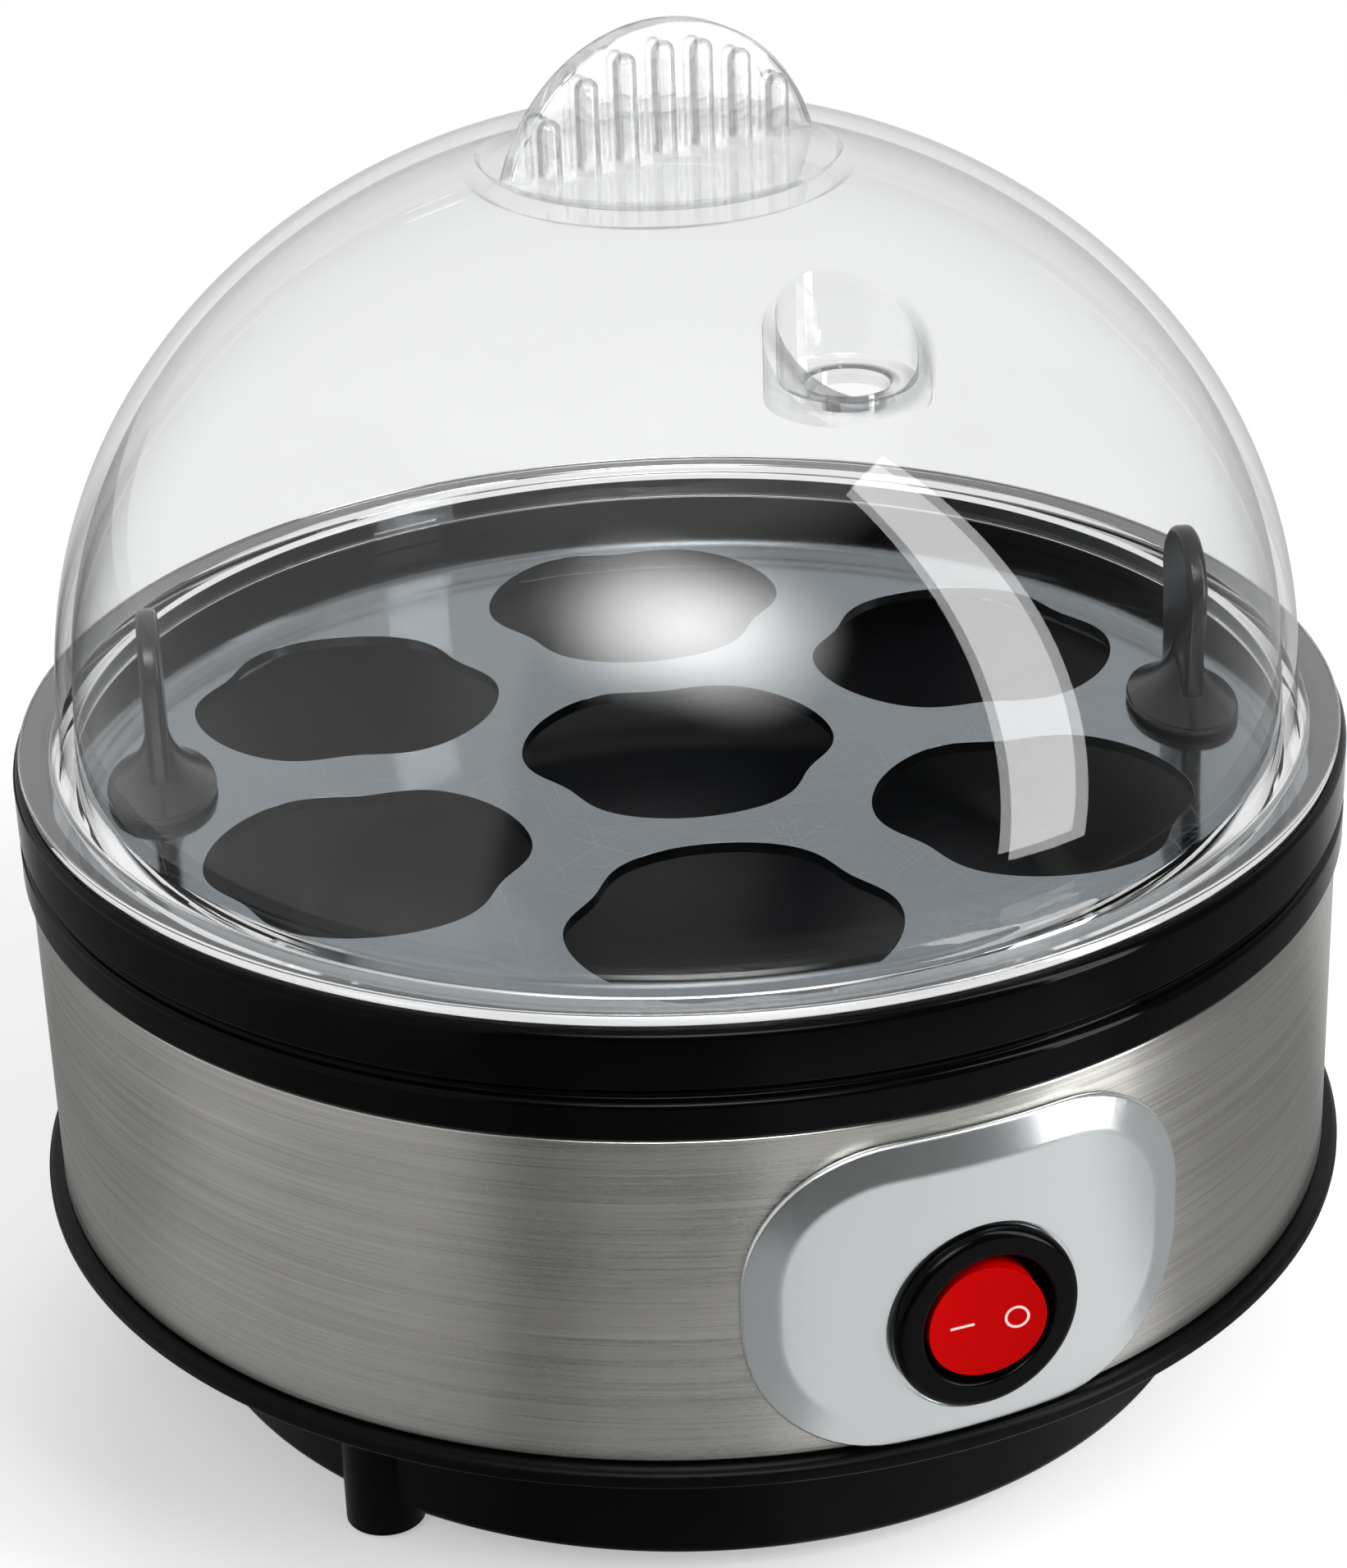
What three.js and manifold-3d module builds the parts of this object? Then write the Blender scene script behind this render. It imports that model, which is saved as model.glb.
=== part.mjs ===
// Electric egg boiler for seven eggs: a clear domed lid over a scalloped egg tray, a steel boiling pan
// with its heater, a steel band between a glossy collar and a black base, and a rocker switch on an
// oval panel. Millimetres, +Z up, origin on the table under the centre, switch panel facing -Y.
import * as THREE from "three";
import { mergeVertices } from "three/addons/utils/BufferGeometryUtils.js";
import Module from "manifold-3d";

const wasm = await Module();
wasm.setup();

// Fits shared by all pieces
const seatGap = 0.3; // between two pieces that rest on or in one another
const runningGap = 0.25; // round the rocker's trunnions
const cutOverrun = 1; // how far a cutting tool passes the face that it opens
const weldTolerance = 0.0001; // vertices closer than this are one

// Facet counts
const ringFacets = 44;
const roundFacets = 24;
const smallFacets = 12;
const wireFacets = 6;
const domeSteps = 7;
const filletSteps = 3;

// Base shell: legs, drum, floor and the flange that the band stands on
const legDrop = 4.3; // feet below the drum's floor
const legRadius = 4.9;
const legInset = 2.4; // from the drum's wall to the leg's axis
const legCount = 3;
const legBearing = 90;
const drumHeight = 22.2; // floor to the flange's underside
const drumWall = 2;
const drumEdgeRound = 1.2;
const flangeProud = 2; // beyond the band
const flangeOverhang = 17.1; // beyond the drum
const flangeThickness = 2.2;
const flangeLipRound = 0.9;
const bandLocatorHeight = 4.5;
const locatorWall = 2;
const ventSlotCount = 8;
const ventSlotLength = 14;
const ventSlotWidth = 2.4;
const ventSlotInset = 26.9; // from the drum's wall to the slot's middle

// Rubber foot pads, each in a socket under its leg
const padRadius = 4;
const padThickness = 1.6;
const padSocketDepth = 1.1;

// Steel band
const bandRadius = 82;
const bandSheet = 0.8;
const bandHeight = 42.1;

// Collar: bead, groove, glossy upper face, inner ledges, skirt and screw posts
const collarProud = 0.8; // beyond the band
const collarHeight = 13.6;
const collarTopRound = 1;
const beadHeight = 4.8;
const beadRound = 0.7;
const grooveDepth = 1;
const rimWall = 2.6;
const rimStepDrop = 2.4;
const rimStepWidth = 0.8;
const trayLedgeWidth = 2.4;
const panLedgeWidth = 5.2;
const trayLedgeRise = 1.35; // above the pan's rim
const ledgeThickness = 2.2;
const skirtDepth = 5.4;
const postRadius = 3.5;
const postCount = 4;
const postBearing = 45;

// Screws that clamp base, band and collar together
const screwRadius = 1.5;
const screwHeadRadius = 3.1;
const screwHeadHeight = 1.9;
const screwGrip = 13; // thread inside the post

// Boiling pan and its gasket
const panSheet = 0.8;
const panDepth = 20.4; // rim to floor, inside
const panCornerRound = 8;
const panSlopeInset = 19; // how far its sloping wall draws in from the rim to the floor
const panRimWidth = 5.6;
const gasketThickness = 1.4;
const gasketWidth = 4.2;

// Egg tray
const trayThickness = 1.4;
const trayTurn = -15.8; // how far the tray stands turned in the photographed pose
const eggWeb = 7.2; // between two holes
const eggRimMargin = 11.4; // between a hole and the tray's edge
const eggHoleCount = 6; // round the one in the middle
const holeBumpDepth = 2.3;
const holeBumpCount = 3;
const holeBumpSharpness = 8;
const holePoints = 42;

// Lift ears on the tray
const earInset = 13.35; // from the tray's edge to the ear's middle
const earHeight = 24;
const earThickness = 2.6;
const earWidth = 14;
const earFootHeight = 10.5;
const earFootRadial = 13.6;
const earFootTangential = 21.6;
const earStemWidth = 9;
const earStemThickness = 1.8;
const earClipThickness = 1;
const earClipWidth = 7;
const earClipLength = 14;

// Lid: flange, spigot, dome, the dish on top and the fin handle in it
const lidTurn = 4.3; // how far the lid stands turned in the photographed pose
const lidFlangeInset = 0.8; // from the collar's outer face
const lidFlangeThickness = 1.4;
const lidSpigotDepth = 2.5;
const lidPlay = 2.2; // round the lid's foot, inside the collar's rim
const domeFootRound = 2;
const domeFootStep = 0.6; // from the foot in to the dome
const domeSpringHeight = 7.1; // underside of the flange to the widest ring
const domeRise = 68.1;
const domeWall = 2;
const dishRadius = 22.4;
const dishDepth = 1.5;
const finLength = 42;
const finHeight = 16.4;
const finThickness = 3;
const finTurn = 4.2; // from the line square to the vent
const ribCount = 7;
const ribPitch = 5.2;
const ribWidth = 3;
const ribProud = 1.5; // beyond each face of the fin
const ribTopMargin = 2;
const ribTopRound = 0.9;

// Steam vent: an upright well sunk into the dome, with a hole in its flat floor
const ventPlaceShare = 0.576; // of the dome's radius
const ventWellRadius = 7.8;
const ventWellWall = 1.5;
const ventHoleRadius = 4.7;
const ventLip = 0.5; // height of the well's wall where the dome is lowest

// Switch panel
const panelWidth = 55.4;
const panelHeight = 39.6;
const panelCornerRadius = 17.4;
const panelRimThickness = 0.8;
const panelThickness = 1.6;
const panelBevelWidth = 4.2;
const panelCornerSteps = 6;
const panelEdgeSteps = 5;
const panelPinRadius = 1.5;
const panelPinLength = 4;
const panelPinSpacing = 42;

// Rocker switch
const switchDrop = 4.4; // below the panel's centre
const bezelRadius = 11.5;
const bezelThickness = 1.8;
const bezelRound = 0.9;
const spotFaceMargin = 0.5;
const barrelRadius = 9.9;
const barrelLength = 15;
const switchBoreRadius = 8.2;
const switchBoreDepth = 11.2;
const rockerRadius = 7;
const rockerProud = 0.8; // its rim beyond the bezel's face
const rockerPivotDepth = 5.1; // below that rim
const rockerSkirt = 1;
const rockerEdge = 0.5;
const rockerHollowRadius = 40;
const rockerTilt = 7; // either way from square, the I side pressed in at rest
const trunnionRadius = 1.2;
const trunnionReach = 8.8;
const bladeWidth = 4.8;
const bladeThickness = 0.8;
const bladeLength = 9;
const bladePitch = 5.4;
const bladeCount = 3;
const lampRadius = 1.6;
const lampLength = 8;

// Cord gland in the back of the band
const glandHeight = 41; // above the table
const glandBoreRadius = 3.9;
const glandWall = 1.8;
const glandRim = 2;
const glandInside = 5;

// Heater under the pan
const spreaderInset = 24.3; // from the pan's wall
const spreaderThickness = 3;
const elementInset = 8; // from the spreader's edge
const elementTubeRadius = 3.2;
const elementGapAngle = 44;
const elementLegDrop = 8;
const elementSteps = 20;
const elementPinRadius = 1.4;
const elementPinLength = 7;
const strapSheet = 1.5;
const strapWidth = 12;
const strapFoot = 6;
const studRadius = 2;
const studLength = 14;
const nutRadius = 4;
const nutThickness = 3.2;
const thermostatRadius = 8;
const thermostatHeight = 6;
const thermostatBladeReach = 6;
const fuseRadius = 2;
const fuseLength = 13;

// Connector block and internal leads
const blockLength = 24;
const blockWidth = 10;
const blockHeight = 9;
const blockInset = 18.9; // from the drum's wall to the block's middle
const leadRadius = 1.1;
const leadSteps = 12;
const leadBow = 8; // how far a lead sags between its ends

// Heights worked out from the table up
const drumBottom = legDrop;
const drumFloor = drumBottom + drumWall;
const flangeBottom = drumBottom + drumHeight;
const flangeTop = flangeBottom + flangeThickness;
const bandBottom = flangeTop + seatGap;
const bandTop = bandBottom + bandHeight;
const collarBottom = bandTop + seatGap;
const collarTop = collarBottom + collarHeight;
const lidBottom = collarTop + seatGap;
const ledgeTop = collarBottom - seatGap + ledgeThickness;
const gasketBottom = ledgeTop + seatGap;
const panRimBottom = gasketBottom + gasketThickness + seatGap;
const panRimTop = panRimBottom + panSheet;
const trayLedge = panRimTop + trayLedgeRise;
const trayBottom = trayLedge + seatGap;
const trayTop = trayBottom + trayThickness;
const panFloorTop = panRimTop - panDepth;
const panFloorBottom = panFloorTop - panSheet;
const spreaderTop = panFloorBottom - seatGap;
const spreaderBottom = spreaderTop - spreaderThickness;
const elementHeight = spreaderBottom - seatGap - elementTubeRadius;

// Radii worked out from the band's
const flangeRadius = bandRadius + flangeProud;
const drumRadius = flangeRadius - flangeOverhang;
const legCircleRadius = drumRadius - legInset;
const ventSlotCircleRadius = drumRadius - ventSlotInset;
const blockRadialPlace = drumRadius - blockInset;
const collarRadius = bandRadius + collarProud;
const lidFlangeRadius = collarRadius - lidFlangeInset;
const bandBoreRadius = bandRadius - bandSheet;
const locatorRadius = bandBoreRadius - seatGap;
const locatorBore = locatorRadius - locatorWall;
const rimBore = bandRadius - rimWall;
const trayBore = rimBore - rimStepWidth;
const trayRadius = trayBore - 1.5 * seatGap;
const panBore = trayBore - trayLedgeWidth;
const ledgeBore = panBore - panLedgeWidth;
const panRimRadius = panBore - seatGap;
const panWallRadius = panRimRadius - panRimWidth;
const panInnerRadius = panWallRadius - panSheet;
const postCircleRadius = locatorBore - 2 * seatGap - postRadius;
const eggHoleRadius = (trayRadius - eggRimMargin - eggWeb) / 3;
const eggCircleRadius = 2 * eggHoleRadius + eggWeb;
const earCircleRadius = trayRadius - earInset;
const spreaderRadius = panWallRadius - spreaderInset;
const elementRadius = spreaderRadius - elementInset;
const heaterRoomRadius = (nutRadius + elementRadius - elementTubeRadius) / 2; // middle of the room
const domeFootRadius = rimBore - lidPlay;
const domeRadius = domeFootRadius - domeFootStep;
const ventCircleRadius = ventPlaceShare * domeRadius;
const domeBoreRadius = domeRadius - domeWall;
const domeBoreRise = domeRise - domeWall;
const panelBackRadius = bandRadius + seatGap;
const panelFaceRadius = panelBackRadius + panelThickness;
const spotFaceRadius = bezelRadius + spotFaceMargin;
const spotFaceReach = Math.sqrt(panelFaceRadius ** 2 - spotFaceRadius ** 2);
const panelCentreHeight = bandBottom + panelHeight / 2;
const switchHeight = panelCentreHeight - switchDrop;
const bezelFace = seatGap + bezelThickness;
const rockerRim = bezelFace + rockerProud;
const rockerPivot = rockerRim - rockerPivotDepth;
const tilt = THREE.MathUtils.degToRad(rockerTilt);
const frontReach =
  spotFaceReach + rockerPivot + rockerPivotDepth * Math.cos(tilt) + rockerRadius * Math.sin(tilt);

const finish = (color, roughness, metalness, more = {}) =>
  new THREE.MeshStandardMaterial({ color, roughness, metalness, ...more });
const finishes = {
  clear: finish(0xe9edee, 0.05, 0, { transparent: true, opacity: 0.35 }),
  gloss: finish(0x0b0c0e, 0.15, 0),
  satin: finish(0x131416, 0.4, 0),
  tray: finish(0x5c6065, 0.2, 0.6),
  steel: finish(0xb5b0a8, 0.3, 1),
  mirror: finish(0xd0d0ce, 0.12, 1),
  aluminium: finish(0xb9bcc0, 0.4, 1),
  silver: finish(0xc4cbcc, 0.35, 0.3),
  red: finish(0xc40000, 0.25, 0),
  rubber: finish(0x161616, 0.8, 0),
  silicone: finish(0x9a9a94, 0.7, 0),
  brass: finish(0xb9a15a, 0.35, 1),
  element: finish(0x6c6a66, 0.5, 0.8),
  ceramic: finish(0xd8d2c4, 0.6, 0),
  glass: finish(0xf2d9c8, 0.1, 0, { transparent: true, opacity: 0.5 }),
  lead: finish(0xcfcac0, 0.6, 0),
};

// Turns a closed three.js geometry into a solid that can be joined and cut.
function solidOf(geometry) {
  const flat = geometry.index ? geometry.toNonIndexed() : geometry;
  const bare = new THREE.BufferGeometry().setAttribute("position", flat.getAttribute("position"));
  const welded = mergeVertices(bare, weldTolerance);
  return new wasm.Manifold(
    new wasm.Mesh({
      numProp: 3,
      vertProperties: welded.attributes.position.array,
      triVerts: new Uint32Array(welded.index.array),
    }),
  );
}

// Turns a solid back into a geometry with flat faces.
function geometryOf(solid) {
  const mesh = solid.getMesh();
  const points = new Float32Array(mesh.numVert * 3);
  for (let i = 0; i < mesh.numVert; i++) {
    points.set(mesh.vertProperties.subarray(i * mesh.numProp, i * mesh.numProp + 3), i * 3);
  }
  const geometry = new THREE.BufferGeometry()
    .setAttribute("position", new THREE.BufferAttribute(points, 3))
    .setIndex(new THREE.BufferAttribute(mesh.triVerts, 1))
    .toNonIndexed();
  geometry.computeVertexNormals();
  return geometry;
}

function piece(name, solid, material) {
  const mesh = new THREE.Mesh(geometryOf(solid), material);
  mesh.name = name;
  return mesh;
}

const radians = (degrees) => THREE.MathUtils.degToRad(degrees);
const point = (radius, height) => new THREE.Vector2(radius, height);

// Points of an elliptical arc in a profile, both ends included.
function arc(centre, across, up, from, to, steps) {
  return Array.from({ length: steps + 1 }, (_, i) => {
    const angle = radians(from + ((to - from) * i) / steps);
    return point(centre.x + across * Math.cos(angle), centre.y + up * Math.sin(angle));
  });
}

// Revolves a profile of (radius, height) points round +Z. A profile that doesn't touch the axis is closed.
function revolve(profile, facets = ringFacets) {
  const closed = profile[0].x === 0 ? profile : [...profile, profile[0]];
  return solidOf(new THREE.LatheGeometry(closed, facets).rotateX(Math.PI / 2));
}

// An upright cylinder that stands on z = bottom.
function rod(radius, bottom, top, facets = smallFacets) {
  return solidOf(
    new THREE.CylinderGeometry(radius, radius, top - bottom, facets)
      .rotateX(Math.PI / 2)
      .translate(0, 0, (top + bottom) / 2),
  );
}

// A box with its centre at x = y = 0 that stands on z = bottom.
function block(length, width, bottom, top) {
  return solidOf(
    new THREE.BoxGeometry(length, width, top - bottom).translate(0, 0, (top + bottom) / 2),
  );
}

// A flat outline raised from z = bottom to z = top, with its top edge rounded if asked.
function raise(shape, bottom, top, round = 0) {
  const geometry = new THREE.ExtrudeGeometry(shape, {
    depth: top - bottom - 2 * round,
    bevelEnabled: round > 0,
    bevelThickness: round,
    bevelSize: round,
    bevelOffset: -round,
    bevelSegments: 2,
    curveSegments: smallFacets,
  });
  return solidOf(geometry.translate(0, 0, bottom + round));
}

// A round tube along a curve, closed at both ends.
function tube(curve, radius, steps, facets) {
  const section = new THREE.Shape(
    Array.from({ length: facets }, (_, i) => {
      const angle = (2 * Math.PI * i) / facets;
      return point(radius * Math.cos(angle), radius * Math.sin(angle));
    }),
  );
  return solidOf(new THREE.ExtrudeGeometry(section, { steps, extrudePath: curve }));
}

// Places on a circle, the first at a bearing in degrees.
function places(count, bearing) {
  return Array.from({ length: count }, (_, i) => radians(bearing) + (2 * Math.PI * i) / count);
}

const outAt = (radius, angle) => [radius * Math.cos(angle), radius * Math.sin(angle), 0];

// Clear lid

// Height of the dome's outside above its widest ring, at a radius.
const domeHeightAt = (radius) => domeRise * Math.sqrt(1 - (radius / domeRadius) ** 2);

function domeProfile() {
  const spring = point(0, lidBottom + domeSpringHeight);
  const rimAngle = THREE.MathUtils.radToDeg(Math.acos(dishRadius / domeRadius));
  const outer = arc(spring, domeRadius, domeRise, 0, rimAngle, domeSteps);
  const dishFloor = outer[outer.length - 1].y - dishDepth;
  const ceiling = dishFloor - domeWall;
  const ceilingAngle = THREE.MathUtils.radToDeg(Math.asin((ceiling - spring.y) / domeBoreRise));
  const inner = arc(spring, domeBoreRadius, domeBoreRise, ceilingAngle, 0, domeSteps);
  const spigotBottom = lidBottom - lidSpigotDepth;
  const flangeTopHeight = lidBottom + lidFlangeThickness;
  const footCorner = point(domeFootRadius + domeFootRound, flangeTopHeight + domeFootRound);
  return {
    dishFloor,
    outer,
    outline: [
      point(0, ceiling),
      ...inner,
      point(domeFootRadius - domeWall, spigotBottom),
      point(domeFootRadius, spigotBottom),
      point(domeFootRadius, lidBottom),
      point(lidFlangeRadius, lidBottom),
      point(lidFlangeRadius, flangeTopHeight),
      ...arc(footCorner, domeFootRound, domeFootRound, 270, 180, filletSteps),
      ...outer,
      point(dishRadius - dishDepth, dishFloor),
      point(0, dishFloor),
    ],
    spring,
  };
}

// The fin: an upright half moon with round-topped ribs through it that stand proud of both faces.
function finHandle(foot) {
  const half = finLength / 2;
  const arcRadius = (half ** 2 + finHeight ** 2) / (2 * finHeight);
  const arcCentre = finHeight - arcRadius;
  const sweep = Math.asin(Math.min(1, half / arcRadius));
  const turn = arcCentre > 0 ? Math.PI - sweep : sweep;
  const moon = new THREE.Shape();
  moon.moveTo(half, -domeWall);
  moon.absarc(0, arcCentre, arcRadius, Math.PI / 2 - turn, Math.PI / 2 + turn, false);
  moon.lineTo(-half, -domeWall);
  let fin = solidOf(
    new THREE.ExtrudeGeometry(moon, {
      depth: finThickness,
      bevelEnabled: false,
      curveSegments: roundFacets,
    })
      .rotateX(Math.PI / 2)
      .translate(0, finThickness / 2, foot),
  );
  for (let i = 0; i < ribCount; i++) {
    const place = (i - (ribCount - 1) / 2) * ribPitch;
    const crest = arcCentre + Math.sqrt(arcRadius ** 2 - place ** 2) - ribTopMargin;
    const reach = finThickness / 2 + ribProud - ribWidth / 2;
    const section = new THREE.Shape();
    section.absarc(place, reach, ribWidth / 2, 0, Math.PI, false);
    section.absarc(place, -reach, ribWidth / 2, Math.PI, 2 * Math.PI, false);
    const rib = new THREE.ExtrudeGeometry(section, {
      depth: crest - ribTopRound + domeWall,
      bevelEnabled: true,
      bevelThickness: ribTopRound,
      bevelSize: ribTopRound,
      bevelOffset: -ribTopRound,
      bevelSegments: 1,
      curveSegments: filletSteps,
    }).translate(0, 0, foot - domeWall);
    fin = fin.add(solidOf(rib));
  }
  return fin;
}

function lid() {
  const { outline, outer, dishFloor, spring } = domeProfile();
  const wellFloor = spring.y + domeHeightAt(ventCircleRadius + ventWellRadius) - ventLip;
  const aside = [0, -ventCircleRadius, 0];
  const outerSkin = revolve([
    point(0, spring.y),
    ...outer,
    point(dishRadius - dishDepth, dishFloor),
    point(0, dishFloor),
  ]);
  const boss = rod(ventWellRadius + ventWellWall, wellFloor - domeWall, dishFloor, roundFacets)
    .translate(aside)
    .intersect(outerSkin);
  const well = rod(ventWellRadius, wellFloor, dishFloor + cutOverrun, roundFacets).translate(aside);
  const holeBottom = wellFloor - domeWall - cutOverrun;
  const hole = rod(ventHoleRadius, holeBottom, dishFloor, roundFacets).translate(aside);
  const shell = revolve(outline).add(boss).subtract(well).subtract(hole);
  return piece("lid", shell.add(finHandle(dishFloor).rotate([0, 0, finTurn])), finishes.clear);
}

// Egg tray

// Outline of an egg hole: a circle with small bumps that reach in, one of them towards a bearing.
function eggHole(centre, bearing) {
  return new THREE.Path(
    Array.from({ length: holePoints }, (_, i) => {
      const angle = (2 * Math.PI * i) / holePoints;
      const swell = Math.abs(Math.cos((holeBumpCount * (angle - bearing)) / 2)) ** holeBumpSharpness;
      const radius = eggHoleRadius - holeBumpDepth * swell;
      return point(centre.x + radius * Math.cos(angle), centre.y + radius * Math.sin(angle));
    }),
  );
}

// The slot that an ear's stem passes, from z = bottom to z = top.
const earStemSlot = (bottom, top) =>
  block(
    earStemThickness + 2 * seatGap,
    earStemWidth + 2 * seatGap,
    bottom - cutOverrun,
    top + cutOverrun,
  );

function tray() {
  const disc = new THREE.Shape(
    places(ringFacets, 0).map((angle) => point(trayRadius * Math.cos(angle), trayRadius * Math.sin(angle))),
  );
  disc.holes.push(eggHole(point(0, 0), Math.PI / 2));
  for (const angle of places(eggHoleCount, 30)) {
    const [x, y] = outAt(eggCircleRadius, angle);
    disc.holes.push(eggHole(point(x, y), angle));
  }
  const plate = raise(disc, trayBottom, trayTop);
  const slot = earStemSlot(trayBottom, trayTop);
  return piece(
    "egg_tray",
    plate
      .subtract(slot.translate([earCircleRadius, 0, 0]))
      .subtract(slot.translate([-earCircleRadius, 0, 0])),
    finishes.tray,
  );
}

// A lift ear: a round-topped blade that grows out of a flared oval foot, with a stem through the tray.
function ear(name) {
  const foot = trayTop + seatGap;
  const clipBottom = trayBottom - seatGap - earClipThickness;
  const flareShares = [
    [1, 0],
    [1, 0.1],
    [0.72, 0.24],
    [0.47, 0.45],
    [0.3, 0.72],
    [0.21, 1],
  ];
  const flare = revolve(
    [
      point(0, foot),
      ...flareShares.map(([out, up]) => point((out * earFootRadial) / 2, foot + up * earFootHeight)),
      point(0, foot + earFootHeight),
    ],
    roundFacets,
  ).scale([1, earFootTangential / earFootRadial, 1]);
  const crown = earHeight - earWidth / 2;
  const outline = new THREE.Shape();
  outline.moveTo(-earWidth / 2, 0);
  outline.lineTo(earWidth / 2, 0);
  outline.absarc(0, crown, earWidth / 2, 0, Math.PI, false);
  const blade = solidOf(
    new THREE.ExtrudeGeometry(outline, {
      depth: earThickness,
      bevelEnabled: false,
      curveSegments: smallFacets,
    })
      .rotateX(Math.PI / 2)
      .rotateZ(Math.PI / 2)
      .translate(-earThickness / 2, 0, foot),
  );
  const stem = block(earStemThickness, earStemWidth, clipBottom, foot + earThickness);
  return piece(name, flare.add(blade).add(stem), finishes.satin);
}

// The spring clip pushed over the stem from below.
function earClip(name) {
  const top = trayBottom - seatGap;
  const bottom = top - earClipThickness;
  const plate = block(earClipWidth, earClipLength, bottom, top);
  return piece(name, plate.subtract(earStemSlot(bottom, top)), finishes.steel);
}

// Collar

function collar() {
  const skirtBottom = collarBottom - skirtDepth;
  const ledgeUnder = ledgeTop - ledgeThickness;
  const beadTop = collarBottom + beadHeight;
  const profile = [
    point(ledgeBore, ledgeUnder),
    point(locatorBore, ledgeUnder),
    point(locatorBore, skirtBottom),
    point(locatorRadius, skirtBottom),
    point(locatorRadius, collarBottom),
    point(collarRadius - beadRound, collarBottom),
    point(collarRadius, collarBottom + beadRound),
    point(collarRadius, beadTop - beadRound),
    point(collarRadius - beadRound, beadTop),
    point(collarRadius - grooveDepth, beadTop + grooveDepth / 2),
    point(collarRadius - grooveDepth / 2, beadTop + grooveDepth),
    point(collarRadius, beadTop + 2 * grooveDepth),
    ...arc(
      point(collarRadius - collarTopRound, collarTop - collarTopRound),
      collarTopRound,
      collarTopRound,
      0,
      90,
      filletSteps - 1,
    ),
    point(rimBore, collarTop),
    point(rimBore, collarTop - rimStepDrop),
    point(trayBore, collarTop - rimStepDrop),
    point(trayBore, trayLedge),
    point(panBore, trayLedge),
    point(panBore, ledgeTop),
    point(ledgeBore, ledgeTop),
  ];
  let ring = revolve(profile);
  const pilot = rod(screwRadius + seatGap, flangeTop, flangeTop + screwGrip + cutOverrun);
  const post = rod(postRadius, flangeTop + seatGap, ledgeTop - seatGap).subtract(pilot);
  for (const angle of places(postCount, postBearing)) {
    ring = ring.add(post.translate(outAt(postCircleRadius, angle)));
  }
  return piece("collar", ring, finishes.gloss);
}

// Band, base shell, screws and feet

function steelBand() {
  const tubeWall = revolve([
    point(bandBoreRadius, bandBottom),
    point(bandRadius, bandBottom),
    point(bandRadius, bandTop),
    point(bandBoreRadius, bandTop),
  ]);
  const outward = (radius, facets) =>
    solidOf(
      new THREE.CylinderGeometry(radius, radius, bandRadius / 2, facets).translate(0, -bandRadius, 0),
    );
  const pinSpread = panelPinSpacing / 2 / bandRadius;
  const barrelHole = outward(barrelRadius + seatGap, roundFacets).translate([0, 0, switchHeight]);
  const glandHole = outward(glandBoreRadius + glandWall + seatGap, roundFacets)
    .rotate([0, 0, 180])
    .translate([0, 0, glandHeight]);
  const pinHole = outward(panelPinRadius + seatGap, smallFacets).translate([0, 0, panelCentreHeight]);
  const spread = THREE.MathUtils.radToDeg(pinSpread);
  return piece(
    "steel_band",
    tubeWall
      .subtract(barrelHole)
      .subtract(glandHole)
      .subtract(pinHole.rotate([0, 0, spread]))
      .subtract(pinHole.rotate([0, 0, -spread])),
    finishes.steel,
  );
}

function ventSlot() {
  const half = (ventSlotLength - ventSlotWidth) / 2;
  const outline = new THREE.Shape();
  outline.absarc(half, 0, ventSlotWidth / 2, -Math.PI / 2, Math.PI / 2, false);
  outline.absarc(-half, 0, ventSlotWidth / 2, Math.PI / 2, (3 * Math.PI) / 2, false);
  return solidOf(
    new THREE.ExtrudeGeometry(outline, {
      depth: drumWall + 2 * cutOverrun,
      bevelEnabled: false,
      curveSegments: filletSteps,
    }).translate(0, 0, drumBottom - cutOverrun),
  );
}

function baseShell() {
  const locatorTop = flangeTop + bandLocatorHeight;
  const profile = [
    point(0, drumBottom),
    point(drumRadius - drumEdgeRound, drumBottom),
    point(drumRadius, drumBottom + drumEdgeRound),
    point(drumRadius, flangeBottom),
    point(flangeRadius - flangeLipRound / 2, flangeBottom),
    point(flangeRadius, flangeBottom + flangeLipRound / 2),
    point(flangeRadius, flangeTop - flangeLipRound),
    point(flangeRadius - flangeLipRound, flangeTop),
    point(locatorRadius, flangeTop),
    point(locatorRadius, locatorTop),
    point(locatorBore, locatorTop),
    point(locatorBore, flangeTop),
    point(drumRadius - drumWall, flangeTop),
    point(drumRadius - drumWall, drumFloor),
    point(0, drumFloor),
  ];
  let shell = revolve(profile);
  const legBottom = padThickness - padSocketDepth + seatGap;
  const leg = rod(legRadius, legBottom, flangeTop, smallFacets);
  const socket = rod(padRadius + seatGap, legBottom - cutOverrun, padThickness + seatGap, smallFacets);
  for (const angle of places(legCount, legBearing)) {
    shell = shell.add(leg.translate(outAt(legCircleRadius, angle)));
    shell = shell.subtract(socket.translate(outAt(legCircleRadius, angle)));
  }
  const screwHole = rod(screwRadius + seatGap, flangeBottom - cutOverrun, flangeTop + cutOverrun);
  for (const angle of places(postCount, postBearing)) {
    shell = shell.subtract(screwHole.translate(outAt(postCircleRadius, angle)));
  }
  const slot = ventSlot().translate([ventSlotCircleRadius, 0, 0]);
  for (let i = 0; i < ventSlotCount; i++) {
    shell = shell.subtract(slot.rotate([0, 0, (360 * i) / ventSlotCount]));
  }
  return piece("base_shell", shell, finishes.satin);
}

function baseScrew(name, angle) {
  const headTop = flangeBottom - seatGap;
  const head = rod(screwHeadRadius, headTop - screwHeadHeight, headTop);
  const shank = rod(screwRadius, headTop - screwHeadHeight / 2, flangeTop + screwGrip - seatGap);
  return piece(name, head.add(shank).translate(outAt(postCircleRadius, angle)), finishes.steel);
}

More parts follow.
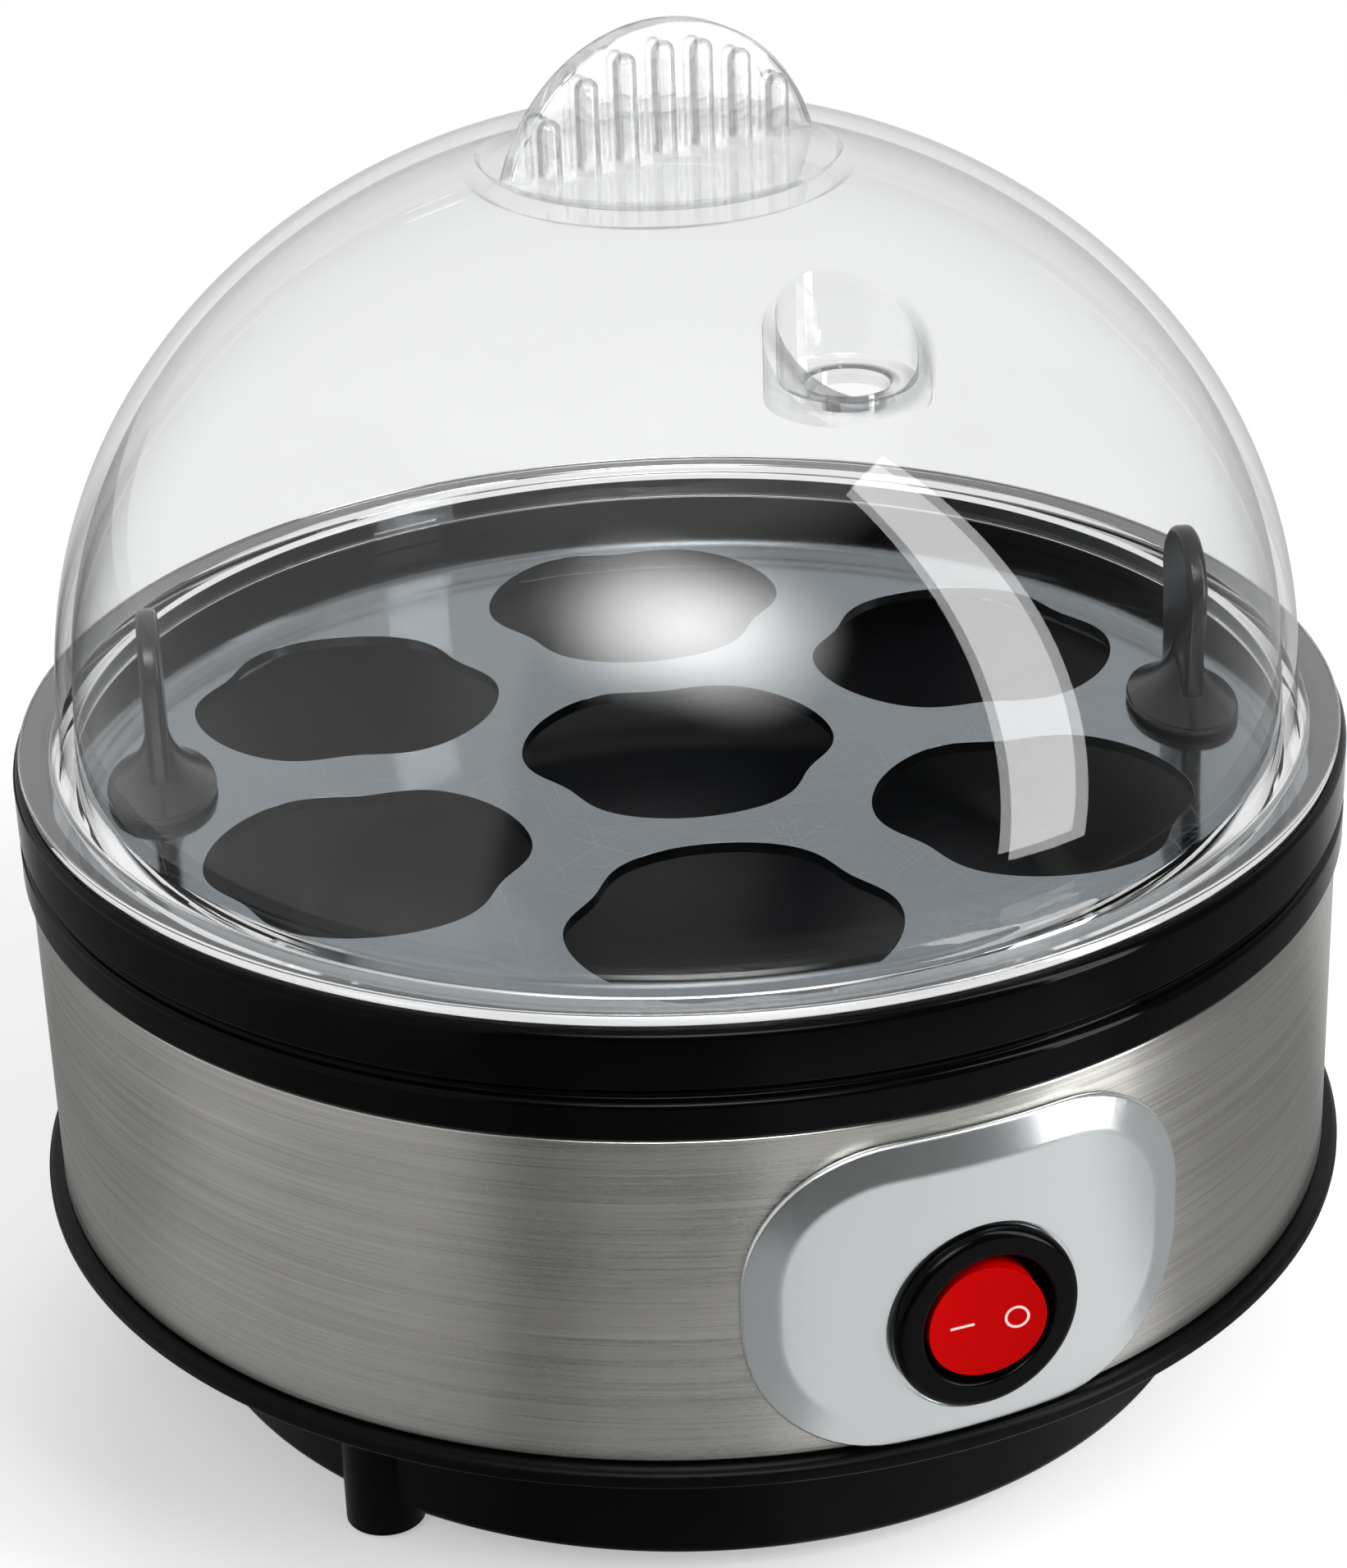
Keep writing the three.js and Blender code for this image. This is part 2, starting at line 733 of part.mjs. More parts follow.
function footPad(name, angle) {
  const pad = rod(padRadius, 0, padThickness);
  return piece(name, pad.translate(outAt(legCircleRadius, angle)), finishes.rubber);
}

// Pan, gasket and heater

function boilingPan() {
  const slope = Math.atan2(panDepth, panSlopeInset);
  const corner = point(
    panInnerRadius - panSlopeInset - panCornerRound * Math.tan(slope / 2),
    panFloorTop + panCornerRound,
  );
  const outerRound = panCornerRound + panSheet;
  const steepest = 270 + THREE.MathUtils.radToDeg(slope);
  const underRim = panInnerRadius - panSheet / Math.tan(slope) + panSheet / Math.sin(slope);
  return piece(
    "boiling_pan",
    revolve([
      point(0, panFloorBottom),
      ...arc(corner, outerRound, outerRound, 270, steepest, filletSteps),
      point(underRim, panRimBottom),
      point(panRimRadius, panRimBottom),
      point(panRimRadius, panRimTop),
      point(panInnerRadius, panRimTop),
      ...arc(corner, panCornerRound, panCornerRound, steepest, 270, filletSteps),
      point(0, panFloorTop),
    ]),
    finishes.mirror,
  );
}

function gasket() {
  const inner = ledgeBore + seatGap;
  return piece(
    "pan_gasket",
    revolve([
      point(inner, gasketBottom),
      point(inner + gasketWidth, gasketBottom),
      point(inner + gasketWidth, gasketBottom + gasketThickness),
      point(inner, gasketBottom + gasketThickness),
    ]),
    finishes.silicone,
  );
}

function heatSpreader() {
  const disc = rod(spreaderRadius, spreaderBottom, spreaderTop, ringFacets);
  return piece("heat_spreader", disc, finishes.aluminium);
}

const elementEnds = [-90 - elementGapAngle / 2, -90 + elementGapAngle / 2].map(radians);
const elementLegBottom = elementHeight - elementLegDrop;

// The sheathed heater: an open ring whose two ends turn down.
function heatingElement() {
  const sweep = 360 - elementGapAngle;
  const along = Array.from({ length: elementSteps + 1 }, (_, i) => {
    const angle = radians(-90 + elementGapAngle / 2 + (sweep * i) / elementSteps);
    const [x, y] = [elementRadius * Math.cos(angle), elementRadius * Math.sin(angle)];
    return new THREE.Vector3(x, y, elementHeight);
  });
  const down = (end) => end.clone().setZ(elementLegBottom);
  const bend = (end) => end.clone().setZ(elementHeight - elementTubeRadius);
  const [first, last] = [along[0], along[along.length - 1]];
  const path = new THREE.CatmullRomCurve3(
    [down(first), bend(first), ...along.slice(1, -1), bend(last), down(last)],
    false,
    "centripetal",
  );
  return piece("heating_element", tube(path, elementTubeRadius, 2 * elementSteps, 8), finishes.element);
}

function elementPin(name, angle) {
  const top = elementLegBottom - seatGap;
  return piece(
    name,
    rod(elementPinRadius, top - elementPinLength, top, 8).translate(outAt(elementRadius, angle)),
    finishes.brass,
  );
}

const strapTop = elementHeight - elementTubeRadius - seatGap;
const strapBottom = strapTop - strapSheet;

// The bridge that pulls the pan down: feet under the collar's ledge, a bar under the heater.
function bridgeStrap() {
  const inside = panWallRadius + seatGap;
  const footTop = ledgeTop - ledgeThickness - seatGap;
  const outline = new THREE.Shape([
    point(-inside - strapFoot, footTop),
    point(-inside - strapFoot, footTop - strapSheet),
    point(-inside - strapSheet, footTop - strapSheet),
    point(-inside - strapSheet, strapBottom),
    point(inside + strapSheet, strapBottom),
    point(inside + strapSheet, footTop - strapSheet),
    point(inside + strapFoot, footTop - strapSheet),
    point(inside + strapFoot, footTop),
    point(inside, footTop),
    point(inside, strapTop),
    point(-inside, strapTop),
    point(-inside, footTop),
  ]);
  const bar = solidOf(
    new THREE.ExtrudeGeometry(outline, { depth: strapWidth, bevelEnabled: false })
      .rotateX(Math.PI / 2)
      .translate(0, strapWidth / 2, 0),
  );
  return piece(
    "bridge_strap",
    bar.subtract(rod(studRadius + seatGap, strapBottom - cutOverrun, strapTop + cutOverrun)),
    finishes.steel,
  );
}

const nutTop = strapBottom - seatGap;

function panStud() {
  const top = spreaderBottom - seatGap;
  return piece("pan_stud", rod(studRadius, top - studLength, top), finishes.steel);
}

function studNut() {
  const bore = rod(studRadius + seatGap, nutTop - nutThickness - cutOverrun, nutTop + cutOverrun);
  return piece("stud_nut", rod(nutRadius, nutTop - nutThickness, nutTop, 6).subtract(bore), finishes.brass);
}

const thermostatTop = spreaderBottom - seatGap;
const thermostatBottom = thermostatTop - thermostatHeight;

function thermostat() {
  const cap = rod(thermostatRadius, thermostatBottom, thermostatTop, roundFacets);
  const tabBottom = thermostatBottom - thermostatBladeReach;
  const tab = block(bladeThickness, bladeWidth, tabBottom, thermostatTop - seatGap);
  return piece(
    "thermostat",
    cap
      .add(tab.translate([thermostatRadius / 2, 0, 0]))
      .add(tab.translate([-thermostatRadius / 2, 0, 0]))
      .translate([0, heaterRoomRadius, 0]),
    finishes.ceramic,
  );
}

const fuseHeight = spreaderBottom - seatGap - fuseRadius;

function thermalFuse() {
  const can = solidOf(
    new THREE.CylinderGeometry(fuseRadius, fuseRadius, fuseLength, smallFacets).rotateZ(Math.PI / 2),
  );
  return piece("thermal_fuse", can.translate([0, -heaterRoomRadius, fuseHeight]), finishes.ceramic);
}

// Switch panel

// Points round a rounded rectangle, the same number whatever its size.
function roundedOutline(width, height, radius) {
  const across = width / 2 - radius;
  const up = height / 2 - radius;
  const straight = (y, way) =>
    Array.from({ length: panelEdgeSteps - 1 }, (_, i) =>
      point(way * across * ((2 * (i + 1)) / panelEdgeSteps - 1), y),
    );
  const corner = (x, y, from) => arc(point(x, y), radius, radius, from, from + 90, panelCornerSteps);
  return [
    ...corner(across, up, 0),
    ...straight(height / 2, -1),
    ...corner(-across, up, 90),
    ...corner(-across, -up, 180),
    ...straight(-height / 2, 1),
    ...corner(across, -up, 270),
  ];
}

// The pad wrapped on the band: rings of points, each wound on to a cylinder, joined ring to ring.
function wrappedPad() {
  const ring = (inset, share, radius) =>
    roundedOutline(panelWidth - 2 * inset, panelHeight - 2 * inset, panelCornerRadius - inset).map((p) => {
      const angle = (share * p.x) / bandRadius - Math.PI / 2;
      return [radius * Math.cos(angle), radius * Math.sin(angle), panelCentreHeight + share * p.y];
    });
  const plateauShares = [0.67, 0.33];
  const rings = [
    ...plateauShares.toReversed().map((share) => ring(0, share, panelBackRadius)),
    ring(0, 1, panelBackRadius),
    ring(0, 1, panelBackRadius + panelRimThickness),
    ring(panelBevelWidth, 1, panelFaceRadius),
    ...plateauShares.map((share) => ring(panelBevelWidth, share, panelFaceRadius)),
  ];
  const points = rings.flat();
  const count = rings[0].length;
  const back = points.push([0, -panelBackRadius, panelCentreHeight]) - 1;
  const front = points.push([0, -panelFaceRadius, panelCentreHeight]) - 1;
  const faces = [];
  for (let i = 0; i < count; i++) {
    const next = (i + 1) % count;
    faces.push([back, next, i]);
    for (let k = 0; k + 1 < rings.length; k++) {
      const [a, b] = [k * count + i, k * count + next];
      faces.push([a, b, b + count], [a, b + count, a + count]);
    }
    const last = (rings.length - 1) * count;
    faces.push([last + i, last + next, front]);
  }
  return solidOf(
    new THREE.BufferGeometry()
      .setAttribute("position", new THREE.Float32BufferAttribute(points.flat(), 3))
      .setIndex(faces.flat()),
  );
}

function switchPanel() {
  const along = (radius, near, far, facets) =>
    solidOf(
      new THREE.CylinderGeometry(radius, radius, far - near, facets).translate(0, -(near + far) / 2, 0),
    );
  const bore = along(barrelRadius + seatGap, bandBoreRadius / 2, panelFaceRadius + cutOverrun, roundFacets);
  const spotFace = along(spotFaceRadius, spotFaceReach, panelFaceRadius + cutOverrun, roundFacets);
  const pin = along(
    panelPinRadius,
    panelBackRadius - panelPinLength,
    panelBackRadius + panelRimThickness / 2,
    smallFacets,
  );
  const spread = THREE.MathUtils.radToDeg(panelPinSpacing / 2 / bandRadius);
  const raisedPin = pin.translate([0, 0, panelCentreHeight]);
  return piece(
    "switch_panel",
    wrappedPad()
      .subtract(bore.translate([0, 0, switchHeight]))
      .subtract(spotFace.translate([0, 0, switchHeight]))
      .add(raisedPin.rotate([0, 0, spread]))
      .add(raisedPin.rotate([0, 0, -spread])),
    finishes.silver,
  );
}

// Rocker switch, in a frame whose +Z points out of the panel and whose z = 0 is the panel's spot face

const lowestBore = bezelFace - switchBoreDepth;
const barrelEnd = seatGap - barrelLength;

function bladePlaces() {
  return Array.from({ length: bladeCount }, (_, i) => (i - (bladeCount - 1) / 2) * bladePitch);
}

const bladeFoot = (lowestBore + barrelEnd) / 2;

function switchHousing() {
  const crown = point(bezelRadius - bezelRound, bezelFace - bezelRound);
  let housing = revolve(
    [
      point(0, barrelEnd),
      point(barrelRadius, barrelEnd),
      point(barrelRadius, seatGap),
      point(bezelRadius, seatGap),
      ...arc(crown, bezelRound, bezelRound, 0, 90, filletSteps - 1),
      point(switchBoreRadius, bezelFace),
      point(switchBoreRadius, lowestBore),
      point(0, lowestBore),
    ],
    roundFacets,
  );
  const reach = trunnionReach + runningGap;
  const bearing = solidOf(
    new THREE.CylinderGeometry(
      trunnionRadius + runningGap,
      trunnionRadius + runningGap,
      2 * reach,
      smallFacets,
    ),
  );
  housing = housing.subtract(bearing.translate([0, 0, rockerPivot]));
  const slot = block(
    bladeThickness + 2 * seatGap,
    bladeWidth + 2 * seatGap,
    barrelEnd - cutOverrun,
    bladeFoot,
  );
  for (const place of bladePlaces()) housing = housing.subtract(slot.translate([place, 0, 0]));
  return piece("switch_housing", housing, finishes.gloss);
}

// The rocker, drawn square about its trunnions: a round cap with a hollowed face.
function rocker() {
  const rim = rockerPivotDepth;
  const cap = revolve(
    [
      point(0, -rockerSkirt),
      point(rockerRadius, -rockerSkirt),
      point(rockerRadius, rim - rockerEdge),
      point(rockerRadius - rockerEdge, rim),
      point(0, rim),
    ],
    roundFacets,
  );
  const sag = rockerHollowRadius - Math.sqrt(rockerHollowRadius ** 2 - rockerRadius ** 2);
  const hollow = solidOf(
    new THREE.CylinderGeometry(rockerHollowRadius, rockerHollowRadius, 4 * rockerRadius, 3 * ringFacets),
  ).translate([0, 0, rim - sag + rockerHollowRadius]);
  const trunnions = solidOf(
    new THREE.CylinderGeometry(trunnionRadius, trunnionRadius, 2 * trunnionReach, smallFacets),
  );
  return piece("rocker", cap.subtract(hollow).add(trunnions), finishes.red);
}

function neonLamp() {
  const height = lowestBore + seatGap + lampRadius;
  return piece(
    "neon_lamp",
    solidOf(
      new THREE.CapsuleGeometry(lampRadius, lampLength - 2 * lampRadius, 3, 8),
    ).translate([0, 0, height]),
    finishes.glass,
  );
}

function switchBlade(name, place) {
  const top = bladeFoot - seatGap;
  return piece(
    name,
    block(bladeThickness, bladeWidth, barrelEnd - bladeLength, top).translate([place, 0, 0]),
    finishes.brass,
  );
}

// Cord gland: a rubber bush with a rim outside the band and a sleeve through it

function cordGland() {
  const sleeve = glandBoreRadius + glandWall;
  const start = bandBoreRadius - glandInside;
  const turned = revolve(
    [
      point(glandBoreRadius, start),
      point(sleeve, start),
      point(sleeve, bandRadius + seatGap),
      point(sleeve + glandRim, bandRadius + seatGap),
      point(sleeve + glandRim, bandRadius + glandRim),
      point(glandBoreRadius + glandWall / 2, frontReach),
      point(glandBoreRadius, frontReach),
    ],
    roundFacets,
  );
  return piece("cord_gland", turned.rotate([-90, 0, 0]).translate([0, 0, glandHeight]), finishes.rubber);
}

// Connector block on the floor and the leads between it, the switch and the heater

const blockBottom = drumFloor + seatGap;
const blockTop = blockBottom + blockHeight;

function connectorBlock() {
  return piece(
    "connector_block",
    block(blockLength, blockWidth, blockBottom, blockTop).translate([0, blockRadialPlace, 0]),
    finishes.ceramic,
  );
}

// A lead from one terminal to another, leaving and arriving along the given directions.
function lead(name, from, leave, to, arrive) {
  const step = (place, way) => place.clone().addScaledVector(way, leadBow);
  const middle = from.clone().add(to).multiplyScalar(0.5);
  middle.z = Math.min(from.z, to.z) - leadBow / 2;
  const curve = new THREE.CatmullRomCurve3(
    [from, step(from, leave), middle, step(to, arrive), to],
    false,
    "centripetal",
  );
  return piece(name, tube(curve, leadRadius, leadSteps, wireFacets), finishes.lead);
}

function leads() {
  const downward = new THREE.Vector3(0, 0, -1);
  const upward = new THREE.Vector3(0, 0, 1);
  const inward = new THREE.Vector3(0, 1, 0);
  const bladeTip = -spotFaceReach - (barrelEnd - bladeLength) + seatGap + leadRadius / 2;
  const atBlade = (i) => new THREE.Vector3(bladePlaces()[i], bladeTip, switchHeight);
  const atBlock = (share) =>
    new THREE.Vector3(share * blockLength, blockRadialPlace, blockTop + seatGap + leadRadius / 2);
  const atThermostat = (side) =>
    new THREE.Vector3(
      (side * thermostatRadius) / 2,
      heaterRoomRadius,
      thermostatBottom - thermostatBladeReach - seatGap,
    );
  const atPin = (i) =>
    new THREE.Vector3(...outAt(elementRadius, elementEnds[i])).setZ(
      elementLegBottom - seatGap - elementPinLength - seatGap,
    );
  const blockShares = [-0.35, 0, 0.35];
  return [
    lead("lead_live_in", atBlock(blockShares[2]), upward, atBlade(2), inward),
    lead("lead_live_out", atBlade(0), inward, atThermostat(-1), downward),
    lead("lead_element", atThermostat(1), downward, atPin(1), downward),
    lead("lead_neutral", atPin(0), downward, atBlock(blockShares[0]), upward),
  ];
}

// The assembly

const eggBoiler = new THREE.Group();

const base = new THREE.Group();
base.add(
  collar(),
  steelBand(),
  baseShell(),
  boilingPan(),
  gasket(),
  heatSpreader(),
  heatingElement(),
  elementPin("element_pin_left", elementEnds[0]),
  elementPin("element_pin_right", elementEnds[1]),
  bridgeStrap(),
  panStud(),
  studNut(),
  thermostat(),
  thermalFuse(),
  switchPanel(),
  cordGland(),
  connectorBlock(),
  ...leads(),
  ...places(postCount, postBearing).map((angle, i) => baseScrew(`base_screw_${i + 1}`, angle)),
  ...places(legCount, legBearing).map((angle, i) => footPad(`foot_pad_${i + 1}`, angle)),
);

const switchUnit = new THREE.Group();
switchUnit.position.set(0, -spotFaceReach, switchHeight);
switchUnit.rotation.x = Math.PI / 2;
switchUnit.add(
  switchHousing(),
  neonLamp(),
  ...bladePlaces().map((place, i) => switchBlade(`switch_blade_${i + 1}`, place)),
);
const rockerPiece = rocker();
rockerPiece.position.z = rockerPivot;
rockerPiece.rotation.y = -tilt;
switchUnit.add(rockerPiece);
base.add(switchUnit);

const trayUnit = new THREE.Group();
trayUnit.rotation.z = radians(trayTurn);
trayUnit.add(tray());
for (const [side, turn] of [
  ["right", 0],
  ["left", Math.PI],
]) {
  const unit = new THREE.Group();
  unit.rotation.z = turn;
  const pieces = [ear(`tray_ear_${side}`), earClip(`ear_clip_${side}`)];
  for (const mesh of pieces) mesh.position.x = earCircleRadius;
  unit.add(...pieces);
  trayUnit.add(unit);
}

const lidUnit = new THREE.Group();
lidUnit.rotation.z = radians(lidTurn);
lidUnit.add(lid());

eggBoiler.add(base, trayUnit, lidUnit);

export default eggBoiler;
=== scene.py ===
"""Looks of a round electric egg boiler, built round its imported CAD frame.

Sizes in the classes are in millimetres, in the frame's own axes: +Z up, -Y out of the switch panel.
"""

import logging
import math
from collections.abc import Callable, Iterable, Iterator, Sequence
from contextlib import contextmanager
from dataclasses import dataclass, field
from enum import Enum
from functools import reduce
from typing import Any

import bmesh
import bpy
from mathutils import Matrix, Vector


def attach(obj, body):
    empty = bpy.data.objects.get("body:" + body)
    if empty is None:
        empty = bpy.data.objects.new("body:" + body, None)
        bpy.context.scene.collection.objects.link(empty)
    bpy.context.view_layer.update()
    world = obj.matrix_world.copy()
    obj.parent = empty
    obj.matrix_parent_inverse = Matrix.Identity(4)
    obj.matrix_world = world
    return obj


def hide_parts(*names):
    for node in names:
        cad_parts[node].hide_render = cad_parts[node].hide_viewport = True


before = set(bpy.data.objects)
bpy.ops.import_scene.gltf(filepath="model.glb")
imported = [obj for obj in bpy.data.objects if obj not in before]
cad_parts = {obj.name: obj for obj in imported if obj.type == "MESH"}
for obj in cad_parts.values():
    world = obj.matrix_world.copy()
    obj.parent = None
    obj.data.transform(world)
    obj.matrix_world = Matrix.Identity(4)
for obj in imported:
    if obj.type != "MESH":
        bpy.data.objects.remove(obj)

MM = 0.001
OVERCUT = 1.0  # how far a cutting tool reaches past what it cuts
WHITE = (1.0, 1.0, 1.0, 1.0)

Colour = tuple[float, float, float]
Point = tuple[float, float]
Corner = tuple[float, float, float]
Place = tuple[float, float, float]
Piece = bpy.types.Object

log = logging.getLogger("egg_boiler")


class Body(Enum):
    """Bodies that the CAD model's joints move."""

    BASE = "base"
    TRAY = "tray"
    LID = "lid"
    ROCKER = "rocker"


class Join(Enum):
    """Ways in which one solid changes another."""

    ADD = "UNION"
    CUT = "DIFFERENCE"
    KEEP_COMMON = "INTERSECT"


# Shader writing


class Wire:
    """A shader socket that plain arithmetic can be written with."""

    def __init__(self, sheet: "Sheet", socket: bpy.types.NodeSocket) -> None:
        """Keeps the socket and the sheet that it is drawn on."""
        self.sheet = sheet
        self.socket = socket

    def _maths(self, operation: str, first: "Wire | float", second: "Wire | float") -> "Wire":
        """Adds one Math node.

        Args:
            operation: name of the Math node's operation.
            first: left operand.
            second: right operand.

        Returns:
            The node's result.
        """
        return self.sheet.node("ShaderNodeMath", {"operation": operation}, {0: first, 1: second})

    def __add__(self, other: "Wire | float") -> "Wire":
        """self + other."""
        return self._maths("ADD", self, other)

    def __sub__(self, other: "Wire | float") -> "Wire":
        """self - other."""
        return self._maths("SUBTRACT", self, other)

    def __rsub__(self, other: float) -> "Wire":
        """other - self."""
        return self._maths("SUBTRACT", other, self)

    def __mul__(self, other: "Wire | float") -> "Wire":
        """self * other."""
        return self._maths("MULTIPLY", self, other)

    __rmul__ = __mul__

    def __truediv__(self, other: "Wire | float") -> "Wire":
        """self / other."""
        return self._maths("DIVIDE", self, other)

    def __pow__(self, other: "Wire | float") -> "Wire":
        """self ** other."""
        return self._maths("POWER", self, other)

    def at_most(self, other: "Wire | float") -> "Wire":
        """The smaller of the two."""
        return self._maths("MINIMUM", self, other)

    def at_least(self, other: "Wire | float") -> "Wire":
        """The larger of the two."""
        return self._maths("MAXIMUM", self, other)

    def held(self) -> "Wire":
        """The value kept between 0 and 1."""
        return self.at_least(0.0).at_most(1.0)


class Sheet:
    """The node tree of one material or of the world."""

    def __init__(self, owner: bpy.types.Material | bpy.types.World) -> None:
        """Takes over the owner's node tree and empties it."""
        owner.use_nodes = True
        self.owner = owner
        self.tree = owner.node_tree
        self.tree.nodes.clear()

    def node(
        self,
        kind: str,
        settings: dict[str, Any] | None = None,
        sockets: dict[str | int, Any] | None = None,
        output: str | int = 0,
    ) -> Wire:
        """Adds one node.

        Args:
            kind: the node's type.
            settings: its properties, with a ramp's stops under the name stops.
            sockets: values or wires for its inputs, by name or number.
            output: which of its outputs is returned.

        Returns:
            The chosen output.
        """
        made = self.tree.nodes.new(kind)
        for name, value in (settings or {}).items():
            if name == "stops":
                self._set_stops(made.color_ramp, value)
            else:
                setattr(made, name, value)
        for key, value in (sockets or {}).items():
            if isinstance(value, Wire):
                self.tree.links.new(value.socket, made.inputs[key])
            else:
                made.inputs[key].default_value = value
        return Wire(self, made.outputs[output])

    @staticmethod
    def _set_stops(ramp: bpy.types.ColorRamp, stops: Sequence[tuple[float, Colour]]) -> None:
        """Gives a colour ramp its stops.

        Args:
            ramp: the ramp.
            stops: positions from 0 to 1, each with its colour.
        """
        ramp.interpolation = "EASE"
        while len(ramp.elements) < len(stops):
            ramp.elements.new(1.0)
        for element, (place, colour) in zip(ramp.elements, stops):
            element.position = place
            element.color = (*colour, 1.0)

    def where(self, output: str = "Object") -> Wire:
        """The place on the surface, or another output of the coordinates node."""
        return self.node("ShaderNodeTexCoord", output=output)

    def along(self, vector: Wire, axis: int) -> Wire:
        """One part of a vector: 0 for x, 1 for y, 2 for z."""
        return self.node("ShaderNodeSeparateXYZ", None, {0: vector}, output=axis)

    def path(self, output: str) -> Wire:
        """What a ray has met on its way, by the name of the light path's output."""
        return self.node("ShaderNodeLightPath", output=output)

    def blend(self, share: Wire, first: Wire, second: Wire) -> Wire:
        """A shader that runs from first to second as share runs from 0 to 1."""
        return self.node("ShaderNodeMixShader", None, {0: share, 1: first, 2: second})

    def on_object(self, stretch: Place, turn: float = 0.0) -> Wire:
        """Object coordinates, so scaled that one unit is one grain.

        Args:
            stretch: size of a grain along x, y and z in millimetres.
            turn: turn round z in degrees before the scaling.

        Returns:
            The coordinates.
        """
        here = self.where()
        if turn:
            here = self.node(
                "ShaderNodeMapping", None, {"Vector": here, "Rotation": (0, 0, math.radians(turn))}
            )
        scale = tuple(1 / (size * MM) for size in stretch)
        return self.node("ShaderNodeMapping", None, {"Vector": here, "Scale": scale})

    def noise(self, stretch: Place, detail: float = 3.0, turn: float = 0.0) -> Wire:
        """A cloudy pattern from about 0 to 1.

        Args:
            stretch: size of a grain along x, y and z in millimetres.
            detail: how many finer octaves it has.
            turn: turn round z in degrees.

        Returns:
            The pattern.
        """
        sockets = {"Vector": self.on_object(stretch, turn), "Scale": 1.0, "Detail": detail}
        return (self.node("ShaderNodeTexNoise", None, sockets) - 0.5) * 2.2 + 0.5

    def between(self, share: Wire, first: Colour | Wire, second: Colour | Wire) -> Wire:
        """A colour that runs from first to second as share runs from 0 to 1."""
        start, end = (one if isinstance(one, Wire) else (*one, 1.0) for one in (first, second))
        sockets = {0: share, 6: start, 7: end}
        return self.node("ShaderNodeMix", {"data_type": "RGBA"}, sockets, output=2)

    def relief(self, height: Wire, depth: float) -> Wire:
        """A normal for small bumps.

        Args:
            height: pattern from 0 to 1.
            depth: height of the bumps in millimetres.

        Returns:
            The normal.
        """
        sockets = {"Strength": 1.0, "Distance": depth * MM, "Height": height}
        return self.node("ShaderNodeBump", None, sockets)

    def skin(self, sockets: dict[str, Any]) -> Wire:
        """A Principled shader."""
        return self.node("ShaderNodeBsdfPrincipled", None, sockets)

    def show(self, shader: Wire, kind: str = "ShaderNodeOutputMaterial") -> None:
        """Links a shader to a new output node of a kind."""
        self.tree.links.new(shader.socket, self.tree.nodes.new(kind).inputs["Surface"])


# Finishes


@dataclass(frozen=True)
class Finish:
    """A moulded or plain surface: two colours that a fine grain and soft patches run between.

    grain is in millimetres along x, y and z, relief in millimetres.
    """

    name: str
    slot: str
    colour: Colour
    stray: Colour
    smooth: float
    rough: float
    grain: Place = (0.6, 0.6, 0.6)
    relief_depth: float = 0.004
    metallic: float = 0.0
    coat: float = 0.0
    coat_rough: float = 0.06
    specular: float = 0.5
    speck_share: float = 0.55
    patch_grains: float = 14.0

    def material(self) -> bpy.types.Material:
        """The material of this finish, drawn once.

        Returns:
            The material.
        """
        ready = bpy.data.materials.get(self.name)
        if ready is None:
            sheet = Sheet(bpy.data.materials.new(self.name))
            sheet.show(self.draw(sheet))
            ready = sheet.owner
        return ready

    def constants(self) -> dict[str, Any]:
        """Sockets that are the same all over the surface."""
        return {
            "Metallic": self.metallic,
            "Coat Weight": self.coat,
            "Coat Roughness": self.coat_rough,
            "Specular IOR Level": self.specular,
        }

    def patches(self, sheet: Sheet) -> Wire:
        """Soft patches, many grains wide."""
        return sheet.noise(tuple(self.patch_grains * size for size in self.grain), 2.0)

    def roughness(self, share: Wire) -> Wire:
        """Roughness that runs from smooth to rough as share runs from 0 to 1."""
        return share * (self.rough - self.smooth) + self.smooth

    def surface(
        self, sheet: Sheet, share: Wire, height: Wire, others: dict[str, Any] | None = None
    ) -> Wire:
        """A Principled shader whose colour and roughness follow one pattern.

        Args:
            sheet: the material's node tree.
            share: the pattern, from 0 to 1.
            height: pattern of the small bumps.
            others: more sockets.

        Returns:
            The shader.
        """
        sockets = {
            "Base Color": sheet.between(share, self.colour, self.stray),
            "Roughness": self.roughness(share),
            "Normal": sheet.relief(height, self.relief_depth),
        }
        return sheet.skin(self.constants() | sockets | (others or {}))

    def draw(self, sheet: Sheet) -> Wire:
        """Draws the surface.

        Args:
            sheet: the material's node tree.

        Returns:
            The shader.
        """
        speck = sheet.noise(self.grain, 4.0)
        share = speck * self.speck_share + self.patches(sheet) * (1 - self.speck_share)
        return self.surface(sheet, share.held(), speck)


@dataclass(frozen=True)
class ClearPlastic(Finish):
    """Clear polished plastic that lets the lamps through."""

    index: float = 1.49
    haze_shares: float = 9.0

    def draw(self, sheet: Sheet) -> Wire:
        """Draws clear plastic with the faint waves of a moulding.

        Args:
            sheet: the material's node tree.

        Returns:
            The shader.
        """
        waves = sheet.noise(self.grain, 1.0)
        haze = sheet.noise(tuple(size / self.haze_shares for size in self.grain), 4.0).held()
        clear = sheet.skin(
            {
                "Base Color": sheet.between(haze, self.colour, self.stray),
                "Roughness": self.roughness(haze),
                "Transmission Weight": 1.0,
                "IOR": self.index,
                "Normal": sheet.relief(waves, self.relief_depth),
            }
        )
        passing = sheet.node("ShaderNodeBsdfTransparent", None, {"Color": (*self.colour, 1.0)})
        return sheet.blend(sheet.path("Is Shadow Ray"), clear, passing)


